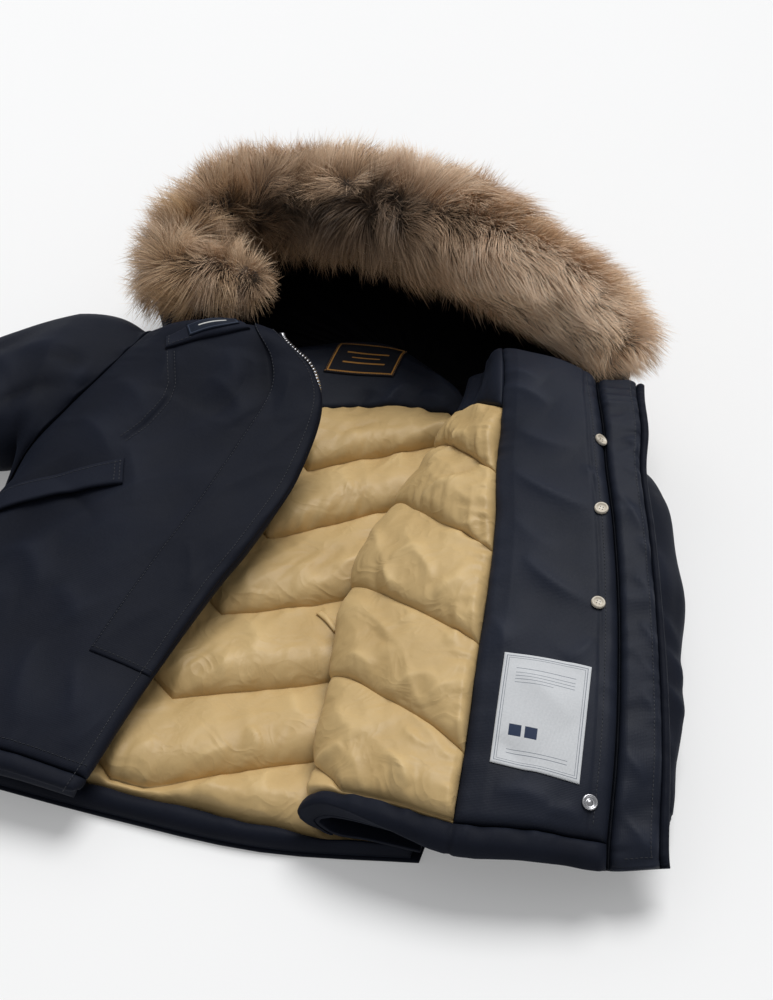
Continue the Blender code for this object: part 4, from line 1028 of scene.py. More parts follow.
openLook = {
    "base": 0.0050, "puff": 0.0130, "face": 0.36, "fall": 0.8, "gather": 1.35, "reach": 2.4, "pucker": 0.0014,
    "seed": 101, "folds": 1.7, "creases": openFolds, "lumps": [(0.0008, 2.8, 111)],
    "drapes": [(0.0016, 2.6, 2.3, 112), (0.0010, 2.2, 0.9, 116)], "atSeam": (0.0024, 1.0, 1.5, 113),
}
openFacingLook = {"folds": 1.7, "creases": facingFolds, "lumps": [(0.0016, 5.0, 131), (0.0005, 2.2, 132)],
                  "drapes": [], "atSeam": (0.0009, 1.5, 1.6, 133), "atZip": (0.0011, 1.9, 1.5, 134),
                  "stitchDepth": 0.0007, "stitchAt": 1.55}
openBandLook = {
    "gather": (0.0020, 1.5, 1.4, 141), "lumps": 0.0014, "seamDepth": 0.0018, "atHem": (0.0014, 1.9, 1.2, 143),
    "drape": 0.0010,
}
openFlyLook = {"folds": 1.3, "creases": flyFolds, "lumps": [(0.0008, 2.4, 161)],
               "drapes": [(0.0008, 2.0, 0.5, 164)], "atBinding": (0.0014, 1.1, 1.5, 162),
               "atTape": (0.0012, 1.3, 1.3, 163), "tapeWide": 0.006, "bindingAt": 0.983,
               "tapeRibs": (0.0010, 0.8, 1.2, 151), "bindingRibs": (0.0009, 0.9, 1.2, 171)}
shoulderLook = {"rise": 0.0035, "lumps": 0.0014, "gather": (0.0012, 1.4, 1.5, 182)}


def makeOpenFront():
    gapV, gapU = seamGap / right.length, seamGap / right.width
    line, band = right.lines, right.rows["band"]
    u, v = grid(rimmed(0, 1, 110, 0.012), rimmed(0, 1, 90, 0.008))
    sewWall("openShell", "shell_cloth", "right_front_shell", navy, ["backLining", "rightSleeve"],
            right, u, v, -shell, 0.0, rim=(0.4,) * 4, reach=0.003, held="folded")

    columns = rimmed(line["fold"], line["seam"] - gapU, 96, 0.012)
    share = (columns - line["fold"]) / (line["seam"] - line["fold"])
    across = right.girth(columns)
    lines = [np.full_like(columns, band + gapV)]
    for number, (atFold, atSeam) in enumerate(rightStitches):
        low, high = rowForY(right, line["fold"], atFold * cm), rowForY(right, line["seam"], atSeam * cm)
        stitch = low + (high - low) * share + 0.0016 * wave(across, 1.6, 120 + number)
        lines.append(np.maximum(stitch, lines[-1] + 0.005))
    low, high = rowForY(right, line["fold"], 12.2 * cm), rowForY(right, line["seam"], 9.6 * cm)
    lines.append(low + (high - low) * share)
    look = openLook
    values, puffs = quilted(lines, right, columns, 30, look)
    puffs = puffs * (0.4 + 0.6 * rolled((columns - line["fold"]) * right.width / 0.034))
    u = np.broadcast_to(columns, values.shape)
    x, y = planOf(right.at(u, values))
    loose = np.clip(puffs / 0.005, 0, 1)
    toSeam = right.girth(line["seam"] - u)
    pucker = puckered(right.run(values), toSeam, look["atSeam"]) * np.clip(toSeam / 0.3, 0, 1)
    folds = crumple(x, y, look) * loose + pucker
    piece = clothWall("openLining", right, u, values, layerGap * 1.7, layerGap + look["base"] + puffs,
                      relief=folds, rim=(0.7, 0.35, 0.5, 0.5), reach=0.006, even=False)
    asPadded(dress(piece, ["right_front_lining"], khaki))

    u, v = grid(rimmed(line["seam"] + gapU, line["zip"] - gapU, 84, 0.012),
                rimmed(band + gapV, 1.0, 150, 0.006))
    x, y = planOf(right.at(u, v))
    fromSeam, toZip = right.girth(u - line["seam"]), right.girth(line["zip"] - u)
    body = facingPad * (0.78 + 0.22 * np.clip(np.minimum(fromSeam, toZip) / 2, 0, 1))
    look = openFacingLook
    stitched = np.abs(toZip - look["stitchAt"])
    folds = crumple(x, y, look) + puckered(right.run(v), fromSeam, look["atSeam"])
    pucker = puckered(right.run(v), toZip, look["atZip"])
    folds += pucker - look["stitchDepth"] * np.exp(-((stitched / 0.16) ** 2))
    facing = sewWall("openFacing", "facing_cloth", "right_facing", facingNavy, ["openShell"], right, u, v,
                     layerGap, layerGap + body, relief=folds, rim=(0.62, 0.2, 0.4, 0.3), reach=0.008,
                     even=False)

    u, v = grid(rimmed(line["lip"], line["zip"] - gapU, 130, 0.01), rimmed(0.0, band - gapV, 12, 0.005))
    x, y = planOf(right.at(u, v))
    body = np.interp(v / band, [0, 0.33, 0.67, 1], [0.55, 1.0, 1.05, 0.7]) * hemPad
    body = body * np.clip(0.35 + (u - line["lip"]) / 0.06, 0.0, 1.0)
    seamHere = np.exp(-(((u - line["seam"]) * right.width / 0.002) ** 2))
    look = openBandLook
    lumps = puckered(x, right.run(band - v), look["gather"]) + look["lumps"] * ripple(x, y, 2.6, 142)
    lumps = lumps - look["seamDepth"] * seamHere
    lumps += puckered(x, right.run(v), look["atHem"]) + look["drape"] * draped(x, y, 2.0, 1.3, 144)
    sewWall("openHemBand", "shell_cloth", "right_hem_band", navy, ["openShell"], right, u, v, layerGap * 1.7,
            layerGap * 1.7 + body, relief=lumps, rim=(0.25, 0.25, 0.2, 0.5), reach=0.006, even=False)

    look = openFlyLook
    tapeWide, bindingAt = look["tapeWide"], look["bindingAt"]
    rows = rimmed(0.0, 0.99, 150, 0.006)
    u, v = grid(rimmed(line["zip"] + gapU, line["zip"] + tapeWide, 6, 0.004), rimmed(0.01, 0.99, 150, 0.006))
    ribs = puckered(right.run(v), right.girth(u - line["zip"]), look["tapeRibs"])
    sewWall("openZipTape", "zip_tape", "right_zip_tape", tapeCloth, ["openShell"], right, u, v, layerGap,
            layerGap + flyPad * 0.55, relief=ribs, rim=(0.5,) * 4, reach=0.002, even=False)

    u, v = grid(rimmed(line["zip"] + tapeWide + gapU, bindingAt, 26, 0.006), rows)
    x, y = planOf(right.at(u, v))
    toBinding, fromTape = right.girth(bindingAt - u), right.girth(u - line["zip"] - tapeWide)
    pucker = puckered(right.run(v), toBinding, look["atBinding"])
    folds = crumple(x, y, look) + (pucker + puckered(right.run(v), fromTape, look["atTape"]))
    fly = sewWall("openFly", "shell_cloth", "right_fly", facingNavy, ["openShell"], right, u, v, layerGap,
                  layerGap + flyPad, relief=folds, rim=(0.2, 0.4, 0.3, 0.3), reach=0.006, even=False)

    u, v = grid(rimmed(bindingAt + gapU, 1.0, 8, 0.005), rows)
    ribs = puckered(right.run(v), right.girth(u - bindingAt), look["bindingRibs"])
    sewWall("openFlyBinding", "shell_cloth", "right_fly_binding", navy, ["openShell"], right, u, v, layerGap,
            layerGap + flyPad * 0.6, relief=ribs, rim=(0.3,) * 4, reach=0.004, even=False)

    u, t = grid(columns, rimmed(0, 1, 20, 0.04))
    low = lines[-1] + 2 * gapV
    v = low + (1.0 - low) * t
    x, y = planOf(right.at(u, v))
    look = shoulderLook
    high = layerGap + openLook["base"] + look["rise"] * np.clip((u - line["crest"]) / 0.1, 0.0, 1.0)
    folds = look["lumps"] * ripple(x, y, 2.6, 181) + puckered(x, t * 4, look["gather"])
    sewWall("openShoulderFacing", "facing_cloth", "right_shoulder_facing", facingNavy, ["openShell"], right,
            u, v, layerGap * 1.7, high, relief=folds, rim=(0.3, 0.85, 0.4, 0.3), reach=0.004, even=False)
    return facing, fly


openFacing, openFly = makeOpenFront()
print("open front made")


# Sleeves: creases as in the fronts, then tubes through the sections given above.

leftSleeveFolds = (
    (-23.2, 2.0, -19.6, 1.6, 0.3, 0.7, -3.0), (-20.8, 1.2, -19.0, 0.4, 0.2, 0.5, 2.4),
    (-25.0, -4.2, -20.0, -0.4, 0.5, 1.0, -3.0), (-26.0, 1.6, -21.4, 3.2, 0.5, 1.0, 2.4),
    (-30.0, -6.4, -24.6, -3.0, 0.5, 1.2, 2.2), (-29.0, 1.0, -25.0, -1.2, 0.4, 1.0, 2.0),
    (-36.0, -4.0, -31.6, -8.6, 0.6, 1.1, 2.4), (-38.0, -11.6, -33.0, -6.0, -0.5, 1.0, 2.0),
    (-43.0, -10.0, -39.4, -14.6, 0.5, 0.9, 2.0), (-47.0, -17.6, -43.4, -12.6, 0.4, 0.9, 2.0),
    (-50.4, -17.0, -48.0, -21.0, 0.4, 0.8, 1.6),
)
rightSleeveFolds = (
    (30.6, 2.0, 33.6, -2.6, 0.5, 0.9, 2.0), (34.6, -7.2, 37.6, -9.4, 0.4, 0.7, 2.6),
    (35.6, -10.6, 38.6, -12.0, 0.4, 0.6, 2.4), (35.0, -14.0, 39.0, -15.6, 0.4, 0.7, 2.4),
    (36.0, -17.6, 39.4, -18.2, 0.3, 0.6, 2.0), (26.0, 12.0, 29.6, 8.0, 0.5, 1.0, 2.0),
    (33.0, -4.6, 36.4, -6.4, 0.4, 0.7, 2.0),
)
sleeveLook = {
    "rings": 118, "sides": 96, "folds": 1.6, "lumps": 0.0015, "atArmhole": (0.0022, 1.9, 3.0),
    "atCuff": (0.0010, 1.5, 1.5), "stitchDepth": 0.0012, "cuffHem": 2.2,
}


def armholeRing(front, side, frontRows, edgeRows, sides):
    half = sides // 2
    over = front.at(np.zeros(half + 1), np.linspace(*frontRows, half + 1))
    under = back.at(np.full(half + 1, side), np.linspace(*edgeRows, half + 1))
    under[:, 2] = 0.0
    ring = np.concatenate([over, under[1:-1]])
    ring[:, 0] += armholeGap * (2.5 if side > 0.5 else -1)
    return ring


def makeSleeve(name, node, rows, armhole, folds, seed):
    rings, sides = sleeveLook["rings"], len(armhole)
    table = np.array(list(rows.values()))
    places = rimmed(0, 1, rings, 0.014)
    table = np.einsum("pr,rc->pc", spread(np.linspace(0, 1, len(table)), places), table)
    angle = np.arange(sides) * 2 * math.pi / sides
    c, s = np.cos(angle), np.sin(angle)
    wide = np.sign(c) * np.abs(c) ** 0.85
    tall = np.sign(s) * np.abs(s) ** 0.75
    fade = np.clip(1 - places / armholeRings, 0, 1)[:, None, None]
    ripples = 1 + 0.025 * np.sin(places * 14 * 2.1) * np.minimum(1, places * 14 / 3)
    x, y, turn, halfWidth, halfHeight = table.T
    across = np.stack([np.cos(np.radians(turn)), np.sin(np.radians(turn)), 0 * turn], axis=-1)
    centre = np.stack([x, y, halfHeight], axis=-1) * cm
    outer = (centre[:, None] + across[:, None] * (halfWidth * cm * ripples)[:, None, None]
             * wide[None, :, None])
    outer[..., 2] += (halfHeight * cm * ripples)[:, None] * tall[None]
    outer = outer * (1 - fade) + armhole[None] * fade
    outwards = (across[:, None] * c[None, :, None] * (1 - fade)
                + np.array([0, 1.0, 0]) * c[None, :, None] * fade)
    outwards = outwards + np.array([0, 0, 1.0]) * s[None, :, None]
    inner = outer - outwards * sleeveWall
    inner[..., 2] = np.maximum(inner[..., 2], sleeveWall)
    px, py = planOf(outer)
    length = np.linalg.norm(np.diff(centre, axis=0), axis=1).sum() / cm
    run = places * length
    girth, down = np.meshgrid(angle * 7.0, run)
    toHem = length - sleeveLook["cuffHem"] - run
    lie = np.clip((outer[..., 2] - 0.004) / 0.012, 0, 1)
    upper = np.clip(s * 3, 0, 1)[None]
    relief = sleeveLook["folds"] * creased(px, py, folds) * upper
    relief += sleeveLook["lumps"] * ripple(down * 0.55, girth, 2.2, seed)
    relief += puckered(girth, down, (*sleeveLook["atArmhole"], seed + 1)) * np.clip(down / 0.6, 0, 1)
    relief += puckered(girth, toHem[:, None], (*sleeveLook["atCuff"], seed + 2))
    relief -= sleeveLook["stitchDepth"] * np.exp(-((toHem / 0.15) ** 2))[:, None]
    share = (0.15 + 0.85 * rolled((1 - places) * length / 0.6) * rolled(places * length / 0.5))[:, None]
    middle = (outer + inner) / 2
    top = middle + (outer - middle) * share[..., None] + outwards * (relief * lie * share)[..., None]
    bottom = middle + (inner - middle) * share[..., None]
    top[..., 2] = np.maximum(top[..., 2], 0.0)

    keptRings = kept(len(places), 6)
    number = ringNumbers(len(places), sides)
    below = ringNumbers(len(keptRings), sides, len(places) * sides)
    points = np.concatenate([top.reshape(-1, 3), bottom[keptRings].reshape(-1, 3)])
    uv = np.stack([girth * cm, down * cm], axis=-1)
    uv = np.concatenate([uv.reshape(-1, 2), uv[keptRings].reshape(-1, 2)])
    # rise carries painted shade: creases darker, ridges paler, and the inner wall darkest
    rise = np.clip(0.5 + relief / 0.008, 0, 1)
    rise = np.concatenate([rise.ravel(), 0 * rise[keptRings].ravel()])
    faces = quads(number) + [face[::-1] for face in quads(below)]
    for k in range(sides):
        faces.append([int(number[0, k + 1]), int(number[0, k]), int(below[0, k]), int(below[0, k + 1])])
        faces.append([int(number[-1, k]), int(number[-1, k + 1]), int(below[-1, k + 1]), int(below[-1, k])])
    piece = makeMesh(name, points, faces, uv, rise)
    loop = np.linalg.norm(np.diff(np.concatenate([outer, outer[:, :1]], axis=1), axis=1), axis=-1).sum(axis=1)
    area = float((loop[1:] + loop[:-1]).sum() / 2 * length * cm / (len(loop) - 1))
    piece["cut"] = (float(loop.max()), float(length * cm), area)
    return sew(piece, node, navy)


edge = back.rows
ring = armholeRing(left, 0.0, (left.rows["backSeam"], left.rows["side"]), (edge["chest"], edge["neck"]),
                   sleeveLook["sides"])
makeSleeve("leftSleeve", "left_sleeve", leftSleeve, ring, leftSleeveFolds, 201)
ring = armholeRing(right, 1.0, (right.rows["neck"], right.rows["armpit"]), (edge["chest"], edge["neck"]),
                   sleeveLook["sides"])
makeSleeve("rightSleeve", "right_sleeve", rightSleeve, ring, rightSleeveFolds, 211)
print("sleeves made")

# Hood: one curled sheet from the ruff round the back to the neck seam.

def ruffPath(count):
    table = np.array(list(ruff.values())) * cm
    return np.einsum("pr,rc->pc", spread(np.linspace(0, 1, len(table)), np.linspace(0, 1, count)), table)


hoodLook = {
    "rimAt": 0.66, "clear": 0.009, "outwards": 0.34, "downwards": 0.94, "fold": 0.0046, "lumps": 0.0014,
    "liningFold": 0.0030, "liningGather": (0.0012, 2.0, 4.5, 232), "liningLift": 0.0014,
}


def hoodPanel():
    path = ruffPath(27)
    heading = np.gradient(path[:, :2], axis=0)[2:25]
    rings = path[2:25]
    table = np.array(list(hoodRows.values())) * cm
    places = np.linspace(0, 1, len(rings))
    table = np.einsum("pr,rkx->pkx", spread(np.linspace(0, 1, len(table)), places), table)
    rows = []
    for ring, (ahead, aside), (outer, onFloor, inner), place in zip(rings, heading, table, places):
        radius = ring[3]
        away = np.array([-aside, ahead, 0.0]) / math.hypot(ahead, aside)
        down = away * hoodLook["outwards"] - np.array([0, 0, hoodLook["downwards"]])
        # the rim is sewn on under the hair
        rim = ring[:3] + down * (radius * hoodLook["rimAt"])
        drop = ring[:3] + down * (radius + rimGap + hoodLook["clear"])
        u = np.array(neckSeam[0] + (neckSeam[1] - neckSeam[0]) * place)
        seam = back.at(u, np.array(1.0))
        beyond = seam - back.at(u, np.array(0.98))
        seam = seam + beyond / np.linalg.norm(beyond) * 0.0008
        seam[2] = hoodWall + 0.0004
        rows.append([rim, drop, outer, onFloor, inner, seam])
    return Panel(rows, ("rim", "drop", "back", "floor", "inner", "neck"), range(len(rows)),
                 (0.0, 0.08, 0.22, 0.36, 0.7, 1.0))


def makeHood():
    hood = hoodPanel()
    u, v = grid(rimmed(0, 1, 84, 0.01), rimmed(0, 1, 132, 0.006))
    around, down = hood.run(v), hood.girth(u)
    # the outside's creases run from the rim to the floor
    slack = np.clip(u / 0.12, 0, 1) * np.clip((0.6 - u) / 0.2, 0, 1)
    folds = hoodLook["fold"] * np.abs(wave(around + 1.1 * wave(down, 3.0, 225), 3.6, 222)) ** 0.8
    folds = folds + hoodLook["lumps"] * ripple(around, down, 1.8, 221)
    sewWall("hoodShell", "shell_cloth", "hood_shell", navy, [],
            hood, u, v, -hoodWall - folds * slack, 0.0, rim=(0.5,) * 4, reach=0.002, held="folded")
    toNeck = hood.girth(1 - u)
    relief = (hoodLook["liningFold"] * np.abs(wave(around, 2.6, 231)) * np.clip(toNeck / 2.5, 0, 1)
              * np.clip(u / 0.2, 0, 1))
    relief += (puckered(around, toNeck, hoodLook["liningGather"]) * np.clip(toNeck / 0.8, 0, 1)
               + hoodLook["liningLift"])
    sewWall("hoodLining", "facing_cloth", "hood_lining", hoodBlack, ["hoodShell"],
            hood, u, v, layerGap, layerGap + 0.002, relief=relief, rim=(0.5,) * 4, reach=0.002, even=False)


makeHood()
print("hood made")

# Fur ruff: a shrunken core with long strands laid over it by Geometry Nodes.

furLook = {
    "core": 0.62, "length": 0.0425, "width": 0.00034, "density": 760000.0, "lean": 30.0, "partLean": 62.0,
    "lock": 0.36, "locks": 3200, "seed": 7, "sections": 6, "rings": 420, "sides": 110,
    "uneven": 0.0060, "shortest": 0.68, "longer": 0.42, "longest": 0.16, "facing": 22,
}


def furFinish():
    material, shader, wire = startFinish("furStrands", {
        "Roughness": 0.5, "Sheen Weight": 0.15, "Sheen Roughness": 0.4, "Sheen Tint": (1.0, 0.86, 0.7, 1),
        "Specular IOR Level": 0.3,
    })
    tip = wire.field("tip")
    tone = wire.field("tone")
    own = wire.field("own")
    gold = wire.field("gold")
    place = tip * 0.34 + tone * 0.80 + own * 0.16 - 0.12
    stops = [(0.0, (0.030, 0.020, 0.014)), (0.25, (0.115, 0.075, 0.049)), (0.5, (0.36, 0.245, 0.160)),
             (0.75, (0.72, 0.515, 0.35)), (1.0, (0.94, 0.76, 0.58))]
    base = wire.make("ShaderNodeValToRGB", {"stops": stops}, {0: place})
    goldStops = [(0.0, (0.05, 0.027, 0.011)), (0.5, (0.40, 0.225, 0.085)), (1.0, (0.80, 0.56, 0.30))]
    warm = wire.make("ShaderNodeValToRGB", {"stops": goldStops}, {0: place})
    join(wire, shader, Base_Color=gold.blend(base, warm))
    return material


def coreFinish():
    material, shader, wire = startFinish("furUnderlayer", {"Roughness": 0.9, "Sheen Weight": 0.1})
    lumps = wire.noise(180.0, 4.0)
    hairs = wire.noise(900.0, 2.0)
    bump = wire.bump(0.8, 0.002, lumps + hairs)
    join(wire, shader, Base_Color=lumps.blend((0.018, 0.012, 0.008, 1), (0.09, 0.06, 0.04, 1)), Normal=bump)
    return material


def unit(vectors):
    return vectors / np.maximum(np.linalg.norm(vectors, axis=-1, keepdims=True), 1e-9)


def ruffSurface():
    # dense rings round the core, with the way each strand lies, how long it is and what tone it has, painted
    # light and shade included
    rings, sides = furLook["rings"], furLook["sides"]
    path = ruffPath(rings)
    toEnd = np.minimum(np.arange(rings), np.arange(rings)[::-1]) / (rings * 0.035)
    centre, radius = path[:, :3], path[:, 3:] * np.maximum(rolled(toEnd), 0.03)[:, None]
    heading = unit(np.gradient(centre, axis=0))
    across = unit(np.cross(heading, (0, 0, 1.0)))
    over = np.cross(across, heading)
    angle = np.arange(sides) * 2 * math.pi / sides
    out = across[:, None] * np.cos(angle)[None, :, None] + over[:, None] * np.sin(angle)[None, :, None]
    core = centre[:, None] + out * (radius * furLook["core"])[:, None]
    capped = (np.clip(1 - toEnd, 0, 1) * np.where(np.arange(rings) * 2 < rings, -1.6, 1.6))[:, None, None]
    out = unit(out + heading[:, None] * capped)
    place = np.linspace(0, 1, rings)
    partAt = np.radians(np.interp(place, [0, 0.2, 0.32, 0.42, 0.6, 0.68, 0.78, 1],
                                  [98, 95, 78, 58, 54, 68, 142, 150]))
    swing = math.radians(furLook["facing"])
    toViewer = np.stack([math.sin(swing) * np.cos(partAt), -math.cos(swing) * np.cos(partAt),
                         np.sin(partAt)], axis=-1)
    girth, run = np.meshgrid(angle * 4, place * 95)

    def byRing(knots, values):
        return np.interp(place, knots, values)[:, None]

    acrossPart = (across * toViewer).sum(-1, keepdims=True)
    overPart = (over * toViewer).sum(-1, keepdims=True)
    partDirection = unit(across * acrossPart + over * overPart)
    partShift = 0.35 * wave(place * 95, 9.0, 301) + 0.15 * wave(place * 95, 3.0, 302)
    side = np.cross(heading, partDirection)
    partDirection = unit(partDirection + side * partShift[:, None])
    facing = (out * partDirection[:, None]).sum(axis=-1)
    fromPart = out - partDirection[:, None] * facing[..., None]
    away = unit(fromPart - out * (fromPart * out).sum(axis=-1, keepdims=True))
    apart = np.arccos(np.clip(facing, -1, 1))
    # which way locks sweep along the ruff: out at both ends, sideways in between
    sweepAt = np.array([0.0, 0.12, 0.2, 0.3, 0.42, 0.55, 0.7, 0.85, 1.0])
    sweep = np.stack([
        np.interp(place, sweepAt, [0.5, 0.1, -0.6, -0.75, -0.4, 0.05, 0.4, 0.9, 1.0]),
        np.interp(place, sweepAt, [-0.4, -0.45, -0.35, 0.0, 0.1, 0.0, -0.3, -0.45, -0.5]),
        np.interp(place, sweepAt, [-0.1, -0.1, -0.1, 0.0, 0.0, 0.0, 0.0, -0.05, -0.2]),
    ], axis=-1)[:, None]
    stray = np.stack([ripple(run, girth, 4.2, 310 + k) for k in range(3)], axis=-1) * 0.42
    stray += np.stack([ripple(run, girth, 1.3, 320 + k) for k in range(3)], axis=-1) * 0.32
    spreadAway = np.clip(apart / 0.5, 0, 1)[..., None]
    tousled = 1 + 1.4 * np.exp(-((apart / 0.6) ** 2))[..., None]
    swept = byRing([0, 0.14, 0.25, 0.55, 0.7, 1], [1.5, 1.3, 1.0, 1.1, 2.3, 2.6])[..., None]
    loose = byRing([0, 0.2, 0.3, 0.4, 0.6, 0.7, 1], [1.5, 1.3, 1.2, 1.7, 1.7, 1.1, 1.0])[..., None]
    pull = byRing([0, 0.6, 0.74, 1], [1.0, 1.0, 0.35, 0.25])[..., None]
    flow = away * spreadAway * pull + sweep * swept * (0.75 + 0.25 * (1 - spreadAway))
    flow = flow + stray * tousled * loose + heading[:, None] * capped * 0.8
    flow = unit(flow - out * (flow * out).sum(axis=-1, keepdims=True))
    lean = np.interp(apart, [0, 0.35, 0.9, 1.8, 3.14], [furLook["partLean"], 50, furLook["lean"], 30, 20])
    lean = np.radians(lean + 9 * ripple(run, girth, 1.6, 331))
    ends = byRing([0, 0.06, 0.16, 0.28, 0.45, 0.9, 1.0], [0.5, 0.62, 0.9, 0.95, 1.0, 0.9, 0.62])
    length = furLook["length"] * ends * (0.92 + 0.16 * ripple(run, girth, 2.2, 332))
    length = length * np.interp(apart, [0, 0.5, 1.2, 3.14], [0.72, 0.95, 1.0, 0.8])
    reach = (flow * np.cos(lean)[..., None] + out * np.sin(lean)[..., None]) * length[..., None]

    # strands gather into locks: each leans towards the tip of the lock that it stands in
    picks = np.random.default_rng(furLook["seed"]).choice(rings * sides, furLook["locks"], replace=False)
    flat, flatReach = core.reshape(-1, 3), reach.reshape(-1, 3)
    tree = kdtree.KDTree(len(picks))
    for k, pick in enumerate(picks):
        tree.insert(flat[pick], k)
    tree.balance()
    nearest = picks[[tree.find(point)[1] for point in flat]]
    lockTip = flat[nearest] + flatReach[nearest] - flat
    reach = flatReach * (1 - furLook["lock"]) + lockTip * furLook["lock"]
    reach = unit(reach) * np.linalg.norm(flatReach, axis=-1, keepdims=True)

    # Strands that lie up and back, towards the sun, take the paler above tone and strands that lie downwards
    # the darker below tone: painted light and painted shade. How both tables change along the ruff is the
    # fur's own colour.
    upward = away @ np.array([0, 0.6, 0.8])
    chance = np.random.default_rng(furLook["seed"] + 1).uniform(-1, 1, rings * sides)
    lockTone = chance[nearest].reshape(rings, sides)
    knots = [0.0, 0.14, 0.26, 0.38, 0.48, 0.6, 0.68, 0.76, 0.84, 1.0]
    above = byRing(knots, [0.66, 0.90, 1.00, 0.88, 0.80, 0.84, 0.90, 1.04, 1.10, 1.04])
    below = byRing(knots, [0.58, 0.60, 0.56, 0.40, 0.26, 0.24, 0.56, 0.84, 0.90, 0.94])
    # darker along the parting: painted shade in the parting, on top of the darker roots that show there
    dark = byRing(knots, [0.10, 0.06, 0.0, 0.22, 0.36, 0.34, 0.16, 0.0, 0.0, 0.0])
    litShare = np.clip(0.5 + 0.9 * upward, 0, 1)
    tone = below + (above - below) * litShare - dark * np.exp(-((apart / 0.55) ** 2))
    tone = tone + 0.06 * ripple(run, girth, 6.0, 341) + 0.11 * lockTone + 0.08 * ripple(run, girth, 1.4, 342)
    gold = byRing([0, 0.15, 0.3, 0.42, 0.55, 1], [0.35, 0.7, 0.8, 0.35, 0.12, 0.15])
    gold = np.clip(gold * (0.5 + 0.9 * ripple(run, girth, 4.0, 351)), 0, 1)
    thin = np.interp(out[..., 2], [-1, -0.5, 0.1], [0.12, 0.4, 1.0])
    return core, reach.reshape(rings, sides, 3), tone, gold, thin


def ringMesh(name, core, closed):
    rings, sides = core.shape[:2]
    number = ringNumbers(rings, sides)
    faces = quads(number)
    points = core.reshape(-1, 3)
    uv = np.stack(np.meshgrid(np.arange(sides) * 0.0016, np.arange(rings) * 0.0022), axis=-1).reshape(-1, 2)
    if closed:
        points = np.concatenate([points, core[0].mean(axis=0)[None], core[-1].mean(axis=0)[None]])
        uv = np.concatenate([uv, uv[:1], uv[-1:]])
        faces += caps(number, rings * sides, rings * sides + 1)
    return makeMesh(name, points, faces, uv)


def strandShape():
    # one strand, 1 long and 1 wide: a narrow ribbon that bows up and droops to a fine tip
    points, faces = [], []
    stations = (0.0, 0.3, 0.62, 0.86)
    for t in stations:
        rise = 0.13 * math.sin(math.pi * min(1, t * 1.1)) - 0.04 * t
        half = 0.5 * (0.75 + 0.5 * t) * (1 - t**3)
        points += [(t, -half, rise), (t, half, rise)]
    points.append((1.0, 0.0, -0.05))
    for k in range(3):
        faces.append((2 * k, 2 * k + 2, 2 * k + 3, 2 * k + 1))
    faces.append((6, 8, 7))
    shape = plainShape("strandShape", points, faces)
    mark(shape.data, "tip", [point[0] for point in points])
    return shape


def startTree(name, sockets):
    tree = bpy.data.node_groups.new(name, "GeometryNodeTree")
    for socket, kind in sockets.items():
        tree.interface.new_socket(socket, in_out="INPUT", socket_type="NodeSocket" + kind)
    tree.interface.new_socket("Geometry", in_out="OUTPUT", socket_type="NodeSocketGeometry")
    start = tree.nodes.new("NodeGroupInput")
    return tree, Wire(tree), {socket.name: Wire(tree, socket) for socket in start.outputs if socket.name}


def endTree(tree, wire, shapes, finish):
    solid = wire.make("GeometryNodeRealizeInstances", None, {0: shapes})
    painted = wire.make("GeometryNodeSetMaterial", None, {"Geometry": solid, "Material": finish})
    tree.links.new(painted.socket, tree.nodes.new("NodeGroupOutput").inputs[0])
    return tree


def furTree():
    tree, wire, given = startTree("furOnSurface", {
        "Geometry": "Geometry", "Strand": "Object", "Density": "Float", "Width": "Float", "Uneven": "Float",
        "Seed": "Int", "Finish": "Material",
    })
    thin = wire.make("GeometryNodeInputNamedAttribute", {"data_type": "FLOAT"}, {"Name": "thin"})
    scatter = wire.make("GeometryNodeDistributePointsOnFaces", {"distribute_method": "RANDOM"},
                        {"Mesh": given["Geometry"], "Density": thin * given["Density"],
                         "Seed": given["Seed"]})
    normal = scatter.other("Normal")
    reach = wire.make("GeometryNodeInputNamedAttribute", {"data_type": "FLOAT_VECTOR"}, {"Name": "reach"})
    stray = wire.make("FunctionNodeRandomValue", {"data_type": "FLOAT_VECTOR"},
                      {0: (-1, -1, -1), 1: (1, 1, 1), "Seed": 3})
    strayLength = wire.make("ShaderNodeVectorMath", {"operation": "SCALE"},
                            {0: stray, "Scale": given["Uneven"]})
    aim = wire.make("ShaderNodeVectorMath", {"operation": "ADD"}, {0: reach, 1: strayLength})
    roll = wire.make("ShaderNodeVectorMath", {"operation": "SCALE"}, {0: stray, "Scale": 0.7})
    upwards = wire.make("ShaderNodeVectorMath", {"operation": "ADD"}, {0: normal, 1: roll})
    turn = wire.make("FunctionNodeAxesToRotation", {"primary_axis": "X", "secondary_axis": "Z"},
                     {0: aim, 1: upwards})
    long = wire.make("ShaderNodeVectorMath", {"operation": "LENGTH"}, {0: reach}, 1)
    own = wire.make("FunctionNodeRandomValue", {"data_type": "FLOAT"}, {2: 0.0, 3: 1.0, "Seed": 5}, 1)
    chance = wire.make("FunctionNodeRandomValue", {"data_type": "FLOAT"}, {2: 0.0, 3: 1.0, "Seed": 9}, 1)
    stretch = chance * furLook["longer"] + chance ** 12 * furLook["longest"] + furLook["shortest"]
    size = wire.make("ShaderNodeCombineXYZ", None, {0: long * stretch, 1: given["Width"], 2: long * stretch})
    strand = wire.make("GeometryNodeObjectInfo", {"transform_space": "ORIGINAL"}, {0: given["Strand"]})
    strand = strand.other("Geometry")
    placed = wire.make("GeometryNodeInstanceOnPoints", None,
                       {"Points": scatter, "Instance": strand, "Rotation": turn, "Scale": size})
    marked = wire.make("GeometryNodeStoreNamedAttribute", {"data_type": "FLOAT", "domain": "INSTANCE"},
                       {"Geometry": placed, "Name": "own", "Value": own})
    return endTree(tree, wire, marked, given["Finish"])


